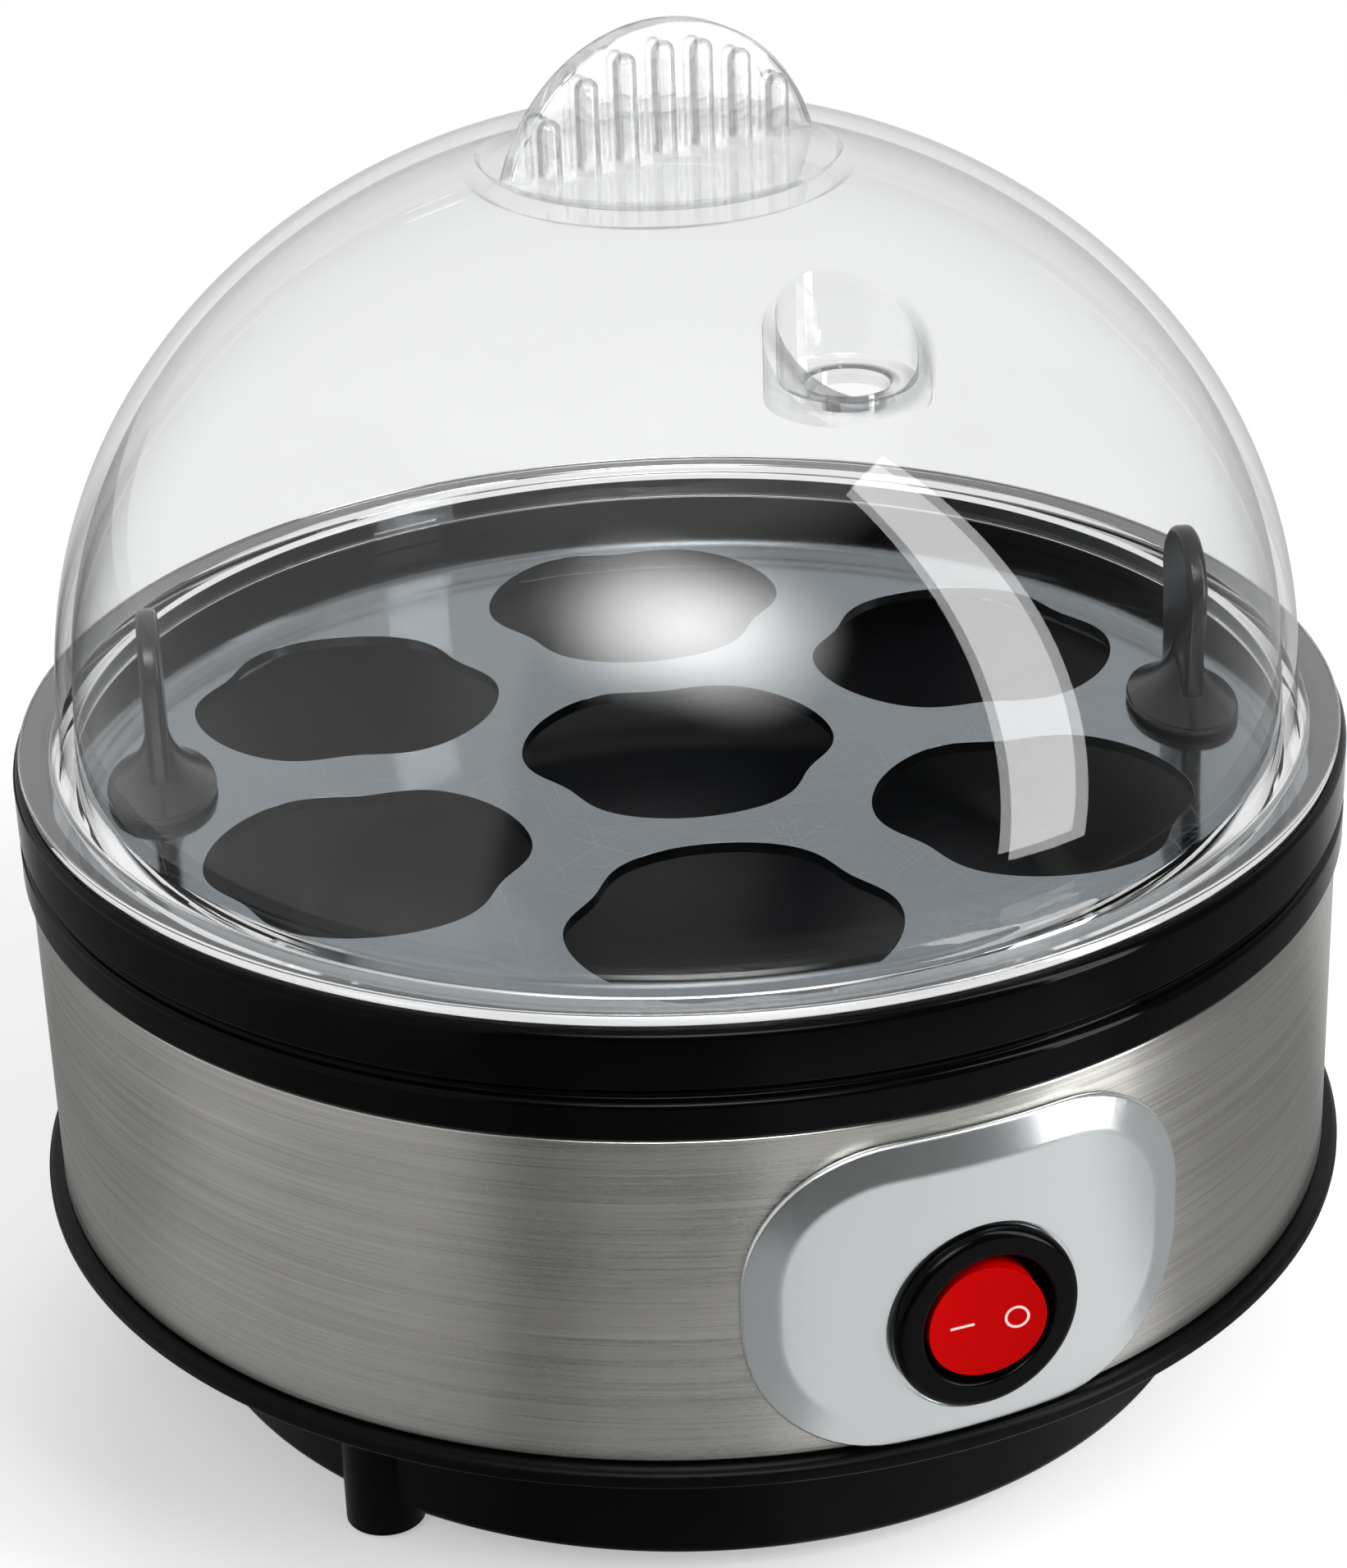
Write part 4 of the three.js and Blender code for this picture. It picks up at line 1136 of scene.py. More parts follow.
@dataclass
class Lid(SubAssembly):
    """The clear lid: flange, foot, dome, dish with the ribbed fin, and the steam vent's well."""

    turn: float = 4.3
    bottom: float = 85.3
    flange_radius: float = 82.0
    flange_thickness: float = 1.4
    flange_round: float = 0.5
    spigot_depth: float = 2.5
    spigot_chamfer: float = 0.3
    foot_radius: float = 77.2
    foot_round: float = 2.0
    dome_radius: float = 76.6
    spring_height: float = 7.1
    rise: float = 68.1
    wall: float = 2.0
    dish_radius: float = 22.4
    dish_depth: float = 1.5
    inner_step: tuple[Point, ...] = ((2.7, 0.0), (2.1, 0.1), (1.3, 0.43), (0.5, 0.84))
    dish_lip: tuple[Point, ...] = ((0.35, 1.54), (0.8, 1.3), (1.3, 0.45), (1.7, 0.12), (2.3, 0.0))
    fin_length: float = 42.0
    fin_height: float = 16.4
    fin_thickness: float = 3.0
    fin_round: float = 0.45
    fin_turn: float = 4.2
    rib_count: int = 7
    rib_pitch: float = 5.2
    rib_radius: float = 1.5
    rib_margin: float = 2.0
    rib_crown: float = 1.3
    vent_radius: float = 44.122
    well_radius: float = 7.8
    well_wall: float = 1.5
    well_lip: float = 0.5
    well_corner: float = 0.8
    well_reach: float = 6.0
    hole_radius: float = 4.7
    hole_chamfer: float = 0.3

    @property
    def spring(self) -> float:
        """Height of the dome's widest ring."""
        return self.bottom + self.spring_height

    @property
    def dish_floor(self) -> float:
        """Height of the dish's floor."""
        share = math.sqrt(1 - (self.dish_radius / self.dome_radius) ** 2)
        return self.spring + self.rise * share - self.dish_depth

    @property
    def well_floor(self) -> float:
        """Height of the floor of the steam vent's well."""
        reach = self.vent_radius + self.well_radius
        skin = self.spring + self.rise * math.sqrt(1 - (reach / self.dome_radius) ** 2)
        return skin - self.well_lip

    def outer_arc(self) -> list[Point]:
        """Points of the dome's outside, from its widest ring up to the dish's rim."""
        rim = math.degrees(math.acos(self.dish_radius / self.dome_radius))
        return arc((0, self.spring), self.dome_radius, self.rise, 0, rim, 44)

    def dish(self) -> list[Point]:
        """Points of the dish, from its rim in to the axis."""
        floor = self.dish_floor
        return [*[(self.dish_radius - back, floor + up) for back, up in self.dish_lip], (0, floor)]

    def shell(self) -> Piece:
        """The turned shell without its vent.

        Returns:
            The shell.
        """
        bore = self.dome_radius - self.wall
        bore_rise = self.rise - self.wall
        ceiling = self.dish_floor - self.wall
        inner_rim = self.dish_radius + self.wall / 2
        start = math.degrees(math.acos(inner_rim / bore))
        step = self.spring + bore_rise * math.sin(math.radians(start)) - ceiling
        top = self.bottom + self.flange_thickness
        foot = (self.dome_radius + self.foot_round, top + self.foot_round)
        low, chamfer = self.bottom - self.spigot_depth, self.spigot_chamfer
        edge = self.flange_round
        reach = self.flange_radius - edge
        profile = [
            (0, ceiling),
            *[(inner_rim - back, ceiling + share * step) for back, share in self.inner_step],
            *arc((0, self.spring), bore, bore_rise, start, 0, 44),
            (self.foot_radius - self.wall, low + chamfer),
            (self.foot_radius - self.wall + chamfer, low),
            (self.foot_radius - chamfer, low),
            (self.foot_radius, low + chamfer),
            (self.foot_radius, self.bottom),
            *arc((reach, self.bottom + edge), edge, edge, 270, 360, 4),
            *arc((reach, top - edge), edge, edge, 0, 90, 4),
            *arc(foot, self.foot_round, self.foot_round, 270, 180, 8),
            *self.outer_arc(),
            *self.dish(),
        ]
        return self.bench.lathe("clear_lid", profile, 224)

    def sink_vent(self, shell: Piece) -> None:
        """Sinks the steam vent's well and its hole into the dome.

        Args:
            shell: the lid's shell.
        """
        bench = self.bench
        aside = (0, -self.vent_radius, 0)
        floor, corner, above = self.well_floor, self.well_corner, self.dish_floor + self.well_reach
        skin = bench.lathe("skin", [(0, self.spring), *self.outer_arc(), *self.dish()], 224)
        outside = self.well_radius + self.well_wall
        boss = bench.rod("boss", outside, floor - self.wall, self.dish_floor, 96)
        bench.combine(bench.shift(boss, aside), skin, Join.KEEP_COMMON)
        bench.combine(shell, boss, Join.ADD)
        well = bench.lathe(
            "well",
            [
                (0, floor),
                *arc((self.well_radius - corner, floor + corner), corner, corner, 270, 360, 5),
                (self.well_radius, above),
                (0, above),
            ],
            96,
        )
        bench.combine(shell, bench.shift(well, aside), Join.CUT)
        low, wide = floor - 2 * self.wall, self.hole_radius + self.hole_chamfer
        hole = bench.lathe(
            "hole",
            [
                (0, low),
                (self.hole_radius, low),
                (self.hole_radius, floor - self.hole_chamfer),
                (wide, floor),
                (wide, floor + OVERCUT),
                (0, floor + OVERCUT),
            ],
            96,
        )
        bench.combine(shell, bench.shift(hole, aside), Join.CUT)

    def fin(self) -> Piece:
        """The half-moon fin with its ribs.

        Returns:
            The fin, standing on the dish.
        """
        bench = self.bench
        half, reach, root = self.fin_length / 2, self.fin_thickness / 2, self.dish_floor - OVERCUT
        radius = (half**2 + self.fin_height**2) / (2 * self.fin_height)
        middle = self.dish_floor + self.fin_height - radius
        moon = bench.rod("fin", radius, -reach, reach, 160)
        bench.shift(bench.turn(moon, 90, "X"), (0, 0, middle))
        with bench.editing(moon):
            bpy.ops.mesh.select_all(action="SELECT")
            bpy.ops.mesh.bisect(
                plane_co=(0, 0, root * MM), plane_no=(0, 0, 1), use_fill=True, clear_inner=True
            )
        bench.soften(moon, self.fin_round, 3, 60)
        for i in range(self.rib_count):
            place = (i - (self.rib_count - 1) / 2) * self.rib_pitch
            crest = middle + math.sqrt(radius**2 - place**2) - self.rib_margin
            rib = bench.rod("rib", self.rib_radius, root, crest, 24, crown=self.rib_crown)
            bench.repeat(moon, rib, [(place, side * reach, 0) for side in (-1, 1)])
        return bench.turn(moon, self.fin_turn)

    def build(self) -> None:
        """Models and dresses the lid."""
        shell = self.shell()
        self.sink_vent(shell)
        self.bench.combine(shell, self.fin(), Join.ADD)
        self.bench.turn(shell, self.turn)
        self.hand_over(shell, CLEAR, Body.LID, "lid", angle=38)


@dataclass
class EggTray(SubAssembly):
    """The scalloped tray with its two lift ears."""

    turn: float = -15.8
    bottom: float = 77.75
    top: float = 79.15
    radius: float = 78.15
    hole_radius: float = 19.85
    hole_circle: float = 46.9
    hole_count: int = 6
    first_hole: float = 30.0
    outline_steps: int = 120
    bump_depth: float = 2.3
    bump_count: int = 3
    bump_sharpness: float = 8.0
    edge_round: float = 0.35
    ear_circle: float = 64.8
    ear_height: float = 24.0
    ear_thickness: float = 2.6
    ear_width: float = 14.0
    ear_round: float = 0.8
    waist_share: float = 0.86
    shoulder_share: float = 0.55
    blade_foot: float = 0.4
    foot_height: float = 10.5
    rim_height: float = 1.2
    rim_shape: tuple[Point, ...] = ((0.35, 0.0), (0.0, 0.3), (0.0, 0.7), (0.25, 1.0))
    flare_root_share: float = 0.19
    flare_share: float = 0.79
    flare_power: float = 2.6
    flare_steps: int = 14
    foot_radial: float = 13.6
    foot_tangential: float = 21.6
    stem_width: float = 9.0
    stem_thickness: float = 1.8
    clip_depth: float = 1.3
    gap: float = 0.3

    def hole_outline(self, bearing: float) -> list[Point]:
        """Outline of one egg hole round its own centre.

        Args:
            bearing: where one of its bumps points, in degrees.

        Returns:
            The outline.
        """
        points = []
        for i in range(self.outline_steps):
            angle = 2 * math.pi * i / self.outline_steps
            wave = math.cos(self.bump_count * (angle - math.radians(bearing)) / 2)
            reach = self.hole_radius - self.bump_depth * abs(wave) ** self.bump_sharpness
            points.append((reach * math.cos(angle), reach * math.sin(angle)))
        return points

    def plate(self) -> Piece:
        """The tray itself.

        Returns:
            The tray.
        """
        bench = self.bench
        disc = bench.rod("scalloped_tray", self.radius, self.bottom, self.top, 256)
        centres = [(Vector((0, 0, 0)), 90.0)]
        for i in range(self.hole_count):
            bearing = self.first_hole + 360 * i / self.hole_count
            centres.append((out_at(self.hole_circle, bearing), bearing))
        low, high = self.bottom - OVERCUT, self.top + OVERCUT
        for centre, bearing in centres:
            cutter = bench.plate("egg", self.hole_outline(bearing), low, high)
            bench.combine(disc, bench.shift(cutter, centre), Join.CUT)
        across = self.stem_thickness / 2 + self.gap
        along = self.stem_width / 2 + self.gap
        for side in (-1, 1):
            middle = side * self.ear_circle
            corners = (middle - across, -along, low), (middle + across, along, high)
            bench.combine(disc, bench.slab("slot", *corners), Join.CUT)
        bench.soften(disc, self.edge_round, 3, 50)
        return bench.turn(disc, self.turn)

    def foot_profile(self) -> list[Point]:
        """Profile of the ear's flared foot, as wide as it is along the radius."""
        foot = self.top + self.gap
        half = self.foot_radial / 2
        outline = [(half - back, up) for back, up in self.rim_shape]
        for i in range(self.flare_steps + 1):
            up = i / self.flare_steps
            share = self.flare_root_share + self.flare_share * (1 - up) ** self.flare_power
            height = self.rim_height + up * (self.foot_height - self.rim_height)
            outline.append((half * share, height))
        return [(0, foot), *((x, foot + z) for x, z in outline), (0, foot + self.foot_height)]

    def ear(self) -> Piece:
        """One ear, standing at the unit's axis.

        Returns:
            The ear.
        """
        bench = self.bench
        foot = self.top + self.gap
        flare = bench.lathe("lift_ear", self.foot_profile(), 72)
        stretch = self.foot_tangential / self.foot_radial
        bench.reshape(flare, lambda p: Vector((p.x, p.y * stretch, p.z)))
        half, thick = self.ear_width / 2, self.ear_thickness / 2
        crown = self.ear_height - half
        waist, shoulder = half * self.waist_share, crown * self.shoulder_share
        outline = [
            (-waist, self.blade_foot),
            (waist, self.blade_foot),
            (waist, shoulder),
            *arc((0, crown), half, half, 0, 180, 28),
            (-waist, shoulder),
        ]
        blade = bench.plate("blade", outline, -thick, thick)
        bench.soften(blade, self.ear_round, 4, 50)
        bench.turn(bench.turn(blade, 90, "X"), 90, "Z")
        bench.combine(flare, bench.shift(blade, (0, 0, foot)), Join.ADD)
        low = (-self.stem_thickness / 2, -self.stem_width / 2, self.bottom - self.clip_depth)
        high = (self.stem_thickness / 2, self.stem_width / 2, foot + self.ear_thickness)
        bench.combine(flare, bench.slab("stem", low, high), Join.ADD)
        return flare

    def build(self) -> None:
        """Models and dresses the tray and its ears."""
        self.hand_over(self.plate(), TRAY_METAL, Body.TRAY, "egg_tray", angle=35)
        right = self.ear()
        left = self.bench.copy(right, "lift_ear_left")
        right.name = right.data.name = "lift_ear_right"
        for ear, side, node in ((right, 1, "tray_ear_right"), (left, -1, "tray_ear_left")):
            self.bench.shift(ear, (side * self.ear_circle, 0, 0))
            self.bench.turn(ear, self.turn)
            self.hand_over(ear, EAR_BLACK, Body.TRAY, node, angle=40)


@dataclass
class Housing(SubAssembly):
    """The collar, the brushed band, the base shell and the boiling pan."""

    collar_radius: float = 82.8
    collar_bottom: float = 71.4
    collar_top: float = 85.0
    bead_top: float = 76.2
    groove: float = 1.0
    groove_foot: float = 0.3
    groove_head: float = 0.9
    groove_shoulder: float = 1.9
    rim_depth: float = 2.4
    rim_bore: float = 79.4
    tray_bore: float = 78.6
    tray_ledge: float = 77.45
    pan_bore: float = 76.2
    ledge_bore: float = 71.0
    ledge_top: float = 73.3
    ledge_under: float = 71.1
    locator_bore: float = 78.9
    locator_radius: float = 80.9
    skirt_bottom: float = 66.0
    post_radius: float = 3.5
    post_gap: float = 0.3
    pilot_depth: float = 14.0
    band_sheet: float = 0.8
    band_bottom: float = 29.0
    band_top: float = 71.1
    gland_hole: float = 6.0
    pin_hole: float = 1.8
    drum_radius: float = 66.9
    drum_bottom: float = 4.3
    drum_wall: float = 2.0
    flange_radius: float = 84.0
    flange_bottom: float = 26.5
    flange_top: float = 28.7
    locator_height: float = 4.5
    leg_radius: float = 4.9
    leg_bottom: float = 0.8
    pad_radius: float = 4.3
    pad_top: float = 1.9
    screw_hole: float = 1.8
    slot_count: int = 8
    slot_circle: float = 40.0
    slot_half: float = 5.8
    slot_round: float = 1.2
    pan_bore_radius: float = 69.5
    pan_sheet: float = 0.8
    pan_rim: float = 75.9
    pan_top: float = 76.1
    pan_depth: float = 20.4
    pan_slope: float = 19.0
    pan_corner: float = 8.0
    pan_lip: float = 0.7
    pan_edge: float = 0.4

    def collar(self) -> Piece:
        """The glossy collar with its bead, groove, ledges, skirt and screw posts.

        Returns:
            The collar.
        """
        bench = self.bench
        face, bead = self.collar_radius, self.bead_top
        groove, seat = face - self.groove, self.collar_top - self.rim_depth
        profile = filleted(
            [
                (self.ledge_bore, self.ledge_under, 0.3),
                (self.locator_bore, self.ledge_under, 0.3),
                (self.locator_bore, self.skirt_bottom, 0.3),
                (self.locator_radius, self.skirt_bottom, 0.5),
                (self.locator_radius, self.collar_bottom, 0.0),
                (face, self.collar_bottom, 0.7),
                (face, bead - 0.1, 0.8),
                (groove, bead + self.groove_foot, 0.3),
                (groove, bead + self.groove_head, 0.3),
                (face, bead + self.groove_shoulder, 0.5),
                (face, self.collar_top, 1.0),
                (self.rim_bore, self.collar_top, 0.35),
                (self.rim_bore, seat, 0.2),
                (self.tray_bore, seat, 0.2),
                (self.tray_bore, self.tray_ledge, 0.2),
                (self.pan_bore, self.tray_ledge, 0.2),
                (self.pan_bore, self.ledge_top, 0.2),
                (self.ledge_bore, self.ledge_top, 0.3),
            ]
        )
        ring = bench.lathe("gloss_collar", profile, 256)
        low, high = self.flange_top + self.post_gap, self.ledge_top - self.post_gap
        post = bench.rod("post", self.post_radius, low, high, 32)
        pilot_top = self.flange_top + self.pilot_depth
        bore = bench.rod("bore", self.screw_hole, self.flange_top - OVERCUT, pilot_top, 24)
        bench.combine(post, bore, Join.CUT)
        bench.repeat(ring, post, self.layout.posts())
        return ring

    def band(self) -> Piece:
        """The steel band with its edges rounded and its holes.

        Returns:
            The band.
        """
        bench, layout, face = self.bench, self.layout, self.layout.band_radius
        bore = face - self.band_sheet
        ring = bench.lathe(
            "brushed_steel_band",
            filleted(
                [
                    (bore, self.band_bottom, 0.2),
                    (face, self.band_bottom, 0.3),
                    (face, self.band_top, 0.3),
                    (bore, self.band_top, 0.2),
                ],
                steps=3,
            ),
            256,
        )
        holes = [
            (layout.switch_bore, layout.switch_height, -90),
            (self.gland_hole, layout.gland_height, 90),
            *[(self.pin_hole, layout.panel_height, bearing) for bearing in layout.pin_bearings()],
        ]
        for radius, height, bearing in holes:
            hole = bench.outward(radius, *layout.cut_span, height, bearing)
            bench.combine(ring, hole, Join.CUT)
        return ring

    def shell(self) -> Piece:
        """The base shell: drum, floor with its slots, flange, locator and legs.

        Returns:
            The shell.
        """
        bench = self.bench
        inner = self.drum_radius - self.drum_wall
        floor = self.drum_bottom + self.drum_wall
        profile = filleted(
            [
                (0, self.drum_bottom, 0),
                (self.drum_radius, self.drum_bottom, 1.4),
                (self.drum_radius, self.flange_bottom, 0.6),
                (self.flange_radius, self.flange_bottom, 0.5),
                (self.flange_radius, self.flange_top, 0.9),
                (self.locator_radius, self.flange_top, 0.2),
                (self.locator_radius, self.flange_top + self.locator_height, 0.4),
                (self.locator_bore, self.flange_top + self.locator_height, 0.4),
                (self.locator_bore, self.flange_top, 0.2),
                (inner, self.flange_top, 0.4),
                (inner, floor, 1.2),
                (0, floor, 0),
            ],
            closed=False,
        )
        shell = bench.lathe("satin_base", profile, 256)
        legs = self.layout.legs()
        leg = bench.rod("leg", self.leg_radius, self.leg_bottom, self.flange_top, 48)
        bench.repeat(shell, leg, legs)
        socket_foot = self.leg_bottom - OVERCUT
        socket = bench.rod("socket", self.pad_radius, socket_foot, self.pad_top, 48)
        bench.repeat(shell, socket, legs, Join.CUT)
        low, high = self.flange_bottom - OVERCUT, self.flange_top + OVERCUT
        hole = bench.rod("hole", self.screw_hole, low, high, 24)
        bench.repeat(shell, hole, self.layout.posts(), Join.CUT)
        half, wide = self.slot_half, self.slot_round
        outline = [
            *arc((half, 0), wide, wide, -90, 90, 8),
            *arc((-half, 0), wide, wide, 90, 270, 8),
        ]
        for i in range(self.slot_count):
            slot = bench.plate("slot", outline, self.drum_bottom - OVERCUT, floor + OVERCUT)
            bench.shift(slot, (self.slot_circle, 0, 0))
            bench.combine(shell, bench.turn(slot, 360 * i / self.slot_count), Join.CUT)
        return shell

    def pan(self) -> Piece:
        """The drawn steel pan with its sloping wall and flat rim with a rounded edge.

        Returns:
            The pan.
        """
        bore, corner, sheet = self.pan_bore_radius, self.pan_corner, self.pan_sheet
        floor = self.pan_top - self.pan_depth
        slope = math.atan2(self.pan_depth, self.pan_slope)
        middle = (bore - self.pan_slope - corner * math.tan(slope / 2), floor + corner)
        steepest = 270 + math.degrees(slope)
        under = self.pan_top - sheet
        under_rim = bore - sheet / math.tan(slope) + sheet / math.sin(slope)
        lip, edge = self.pan_lip, self.pan_edge
        lip_middle = (bore + lip * math.tan(slope / 2), self.pan_top - lip)
        profile = [
            (0, floor - sheet),
            *arc(middle, corner + sheet, corner + sheet, 270, steepest, 14),
            (under_rim, under),
            *arc((self.pan_rim - edge, self.pan_top - edge), edge, edge, -90, 90, 6),
            *arc(lip_middle, lip, lip, 90, 90 + math.degrees(slope), 5),
            *arc(middle, corner, corner, steepest, 270, 14),
            (0, floor),
        ]
        return self.bench.lathe("satin_pan_steel", profile, 192)

    def build(self) -> None:
        """Models and dresses the housing's pieces."""
        self.hand_over(self.shell(), SATIN_BLACK, Body.BASE, "base_shell")
        self.hand_over(self.band(), BAND_STEEL, Body.BASE, "steel_band")
        self.hand_over(self.collar(), GLOSS_BLACK, Body.BASE, "collar")
        self.hand_over(self.pan(), PAN_STEEL, Body.BASE, "boiling_pan")


@dataclass
class SwitchPanel(SubAssembly):
    """The silver pad that is wrapped on the band."""

    width: float = 55.4
    height: float = 39.6
    corner: float = 17.4
    rim: float = 0.8
    thickness: float = 1.6
    bevel: float = 4.2
    edge_round: float = 0.9
    slices: int = 32
    back_radius: float = 82.3
    spot_radius: float = 12.0
    pin_radius: float = 1.5
    pin_length: float = 4.0
    pin_root: float = 0.4

    def outline(self) -> list[Point]:
        """Outline of the flat pad."""
        across, up = self.width / 2 - self.corner, self.height / 2 - self.corner
        corners = ((across, up, 0), (-across, up, 90), (-across, -up, 180), (across, -up, 270))
        outline: list[Point] = []
        for x, y, start in corners:
            outline += arc((x, y), self.corner, self.corner, start, start + 90, 14)
        return outline

    def pad(self) -> Piece:
        """The pad: raised flat, bevelled, sliced, and wound on to the band.

        Returns:
            The pad.
        """
        bench, layout = self.bench, self.layout
        pad = bench.plate("silver_panel", self.outline(), 0, self.rim)
        with bench.editing(pad, "FACE"):
            bench.select_top(pad)
            bpy.ops.mesh.inset(
                thickness=self.bevel * MM, depth=(self.thickness - self.rim) * MM
            )
        bench.soften(pad, self.edge_round, 4, 8.5)
        cuts = [self.width * (i / self.slices - 0.5) for i in range(1, self.slices)]
        bench.slice_up(pad, cuts)

        def wrap(p: Vector) -> Vector:
            """Winds a flat place on to the band."""
            angle = p.x / layout.band_radius - math.pi / 2
            radius, height = self.back_radius + p.z, layout.panel_height + p.y
            return Vector((radius * math.cos(angle), radius * math.sin(angle), height))

        bench.reshape(pad, wrap)
        return pad

    def build(self) -> None:
        """Models and dresses the panel."""
        bench, layout = self.bench, self.layout
        pad = self.pad()
        near, far = layout.cut_span
        for radius, start in ((layout.switch_bore, near), (self.spot_radius, layout.switch_reach)):
            cutter = bench.outward(radius, start, far, layout.switch_height, -90)
            bench.combine(pad, cutter, Join.CUT)
        low, high = self.back_radius - self.pin_length, self.back_radius + self.pin_root
        for bearing in layout.pin_bearings():
            pin = bench.outward(self.pin_radius, low, high, layout.panel_height, bearing)
            bench.combine(pad, pin, Join.ADD)
        self.hand_over(pad, SILVER, Body.BASE, "switch_panel", angle=24)


@dataclass
class Switch(SubAssembly):
    """The round switch: housing with bezel, and the rocker with its two marks.

    Its pieces are modelled with +Z out of the panel and stood upright against it afterwards.
    """

    bezel_radius: float = 11.5
    bezel_face: float = 2.1
    bezel_round: float = 1.1
    gap: float = 0.3
    barrel_radius: float = 9.9
    barrel_end: float = -14.7
    bore_radius: float = 8.2
    bore_floor: float = -9.1
    pivot: float = -2.2
    rocker_radius: float = 7.0
    rim: float = 4.97
    skirt: float = 1.0
    cap_round: float = 0.65
    cap_spare: float = 0.3
    hollow: float = 40.0
    hollow_reach: float = 20.0
    tilt: float = -7.0
    trunnion_radius: float = 1.2
    trunnion_reach: float = 8.8
    trunnion_gap: float = 0.25
    blade_width: float = 4.8
    blade_thickness: float = 0.8
    blade_pitch: float = 5.4
    bar_place: float = -2.9
    ring_place: float = 3.6
    mark_length: float = 2.9
    mark_line: float = 0.3
    bar_steps: int = 8
    ring_steps: int = 40
    ring_radius: float = 1.45
    print_height: float = 0.05
    print_sink: float = 0.02

    def stand_up(self, piece: Piece) -> Piece:
        """Turns a piece out of the panel and moves it to the switch's place."""
        self.bench.turn(piece, 90, "X")
        place = (0, -self.layout.switch_reach, self.layout.switch_height)
        return self.bench.shift(piece, place)

    def housing(self) -> Piece:
        """The barrel and bezel.

        Returns:
            The housing.
        """
        bench = self.bench
        profile = filleted(
            [
                (0, self.barrel_end, 0),
                (self.barrel_radius, self.barrel_end, 0.6),
                (self.barrel_radius, self.gap, 0.0),
                (self.bezel_radius, self.gap, 0.25),
                (self.bezel_radius, self.bezel_face, self.bezel_round),
                (self.bore_radius, self.bezel_face, 0.45),
                (self.bore_radius, self.bore_floor, 0.3),
                (0, self.bore_floor, 0),
            ],
            closed=False,
            steps=6,
        )
        housing = bench.lathe("switch_bezel", profile, 96)
        reach = self.trunnion_reach + self.trunnion_gap
        bearing = bench.rod("bearing", self.trunnion_radius + self.trunnion_gap, -reach, reach, 24)
        bench.turn(bearing, 90, "X")
        bench.combine(housing, bench.shift(bearing, (0, 0, self.pivot)), Join.CUT)
        foot = (self.bore_floor + self.barrel_end) / 2
        across, along = self.blade_thickness / 2 + self.gap, self.blade_width / 2 + self.gap
        for i in (-1, 0, 1):
            x, low = i * self.blade_pitch, self.barrel_end - OVERCUT
            slot = bench.slab("slot", (x - across, -along, low), (x + across, along, foot))
            bench.combine(housing, slot, Join.CUT)
        return self.stand_up(housing)

    def hollow_at(self, x: float) -> float:
        """Height of the rocker's hollowed face above its pivot, this far from the trunnions."""
        sag = self.hollow - math.sqrt(self.hollow**2 - self.rocker_radius**2)
        return self.rim - sag + self.hollow - math.sqrt(self.hollow**2 - x**2)

    def tip(self, piece: Piece) -> Piece:
        """Tilts a piece drawn about the trunnions to its rest and puts it in the housing."""
        self.bench.turn(piece, self.tilt, "Y")
        return self.stand_up(self.bench.shift(piece, (0, 0, self.pivot)))

    def rocker(self) -> Piece:
        """The rocker's cap with its hollowed face and trunnions.

        Returns:
            The rocker.
        """
        bench = self.bench
        top = self.rim + self.cap_spare
        cap = bench.rod("red_rocker", self.rocker_radius, -self.skirt, top, 96)
        drum = bench.rod("drum", self.hollow, -self.hollow_reach, self.hollow_reach, 512)
        bench.turn(drum, 90, "X")
        centre = self.hollow_at(0) + self.hollow
        bench.combine(cap, bench.shift(drum, (0, 0, centre)), Join.CUT)
        bench.soften(cap, self.cap_round, 4, 50)
        reach = self.trunnion_reach
        axle = bench.rod("axle", self.trunnion_radius, -reach, reach, 24)
        bench.combine(cap, bench.turn(axle, 90, "X"), Join.ADD)
        return self.tip(cap)

    def printed(self, name: str, outline: Sequence[Point], bore: Sequence[Point] = ()) -> Piece:
        """A printed mark that lies on the hollowed face.

        Args:
            name: its name.
            outline: its outline on the face.
            bore: the outline of a hole in it.

        Returns:
            The mark.
        """
        bench = self.bench
        mark = bench.plate(name, outline, -self.print_sink, self.print_height)
        if bore:
            bench.combine(mark, bench.plate("bore", bore, -OVERCUT, OVERCUT), Join.CUT)
        bench.reshape(mark, lambda p: Vector((p.x, p.y, p.z + self.hollow_at(p.x))))
        return self.tip(mark)

    def marks(self) -> list[Piece]:
        """The bar for on and the ring for off."""
        half, line, x = self.mark_length / 2, self.mark_line / 2, self.bar_place
        steps = [
            x - half + self.mark_length * i / self.bar_steps for i in range(self.bar_steps + 1)
        ]
        bar = [(s, -line) for s in steps] + [(s, line) for s in reversed(steps)]
        last = 360 - 360 / self.ring_steps
        ring, hole = (
            arc((self.ring_place, 0), radius, radius, 0, last, self.ring_steps - 1)
            for radius in (self.ring_radius, self.ring_radius - self.mark_line)
        )
        return [self.printed("mark_on", bar), self.printed("mark_off", ring, hole)]

    def build(self) -> None:
        """Models and dresses the switch."""
        self.hand_over(self.housing(), GLOSS_BLACK, Body.BASE, "switch_housing")
        self.hand_over(self.rocker(), RED, Body.ROCKER, "rocker", angle=40)
        for mark in self.marks():
            self.hand_over(mark, MARK_WHITE, Body.ROCKER)


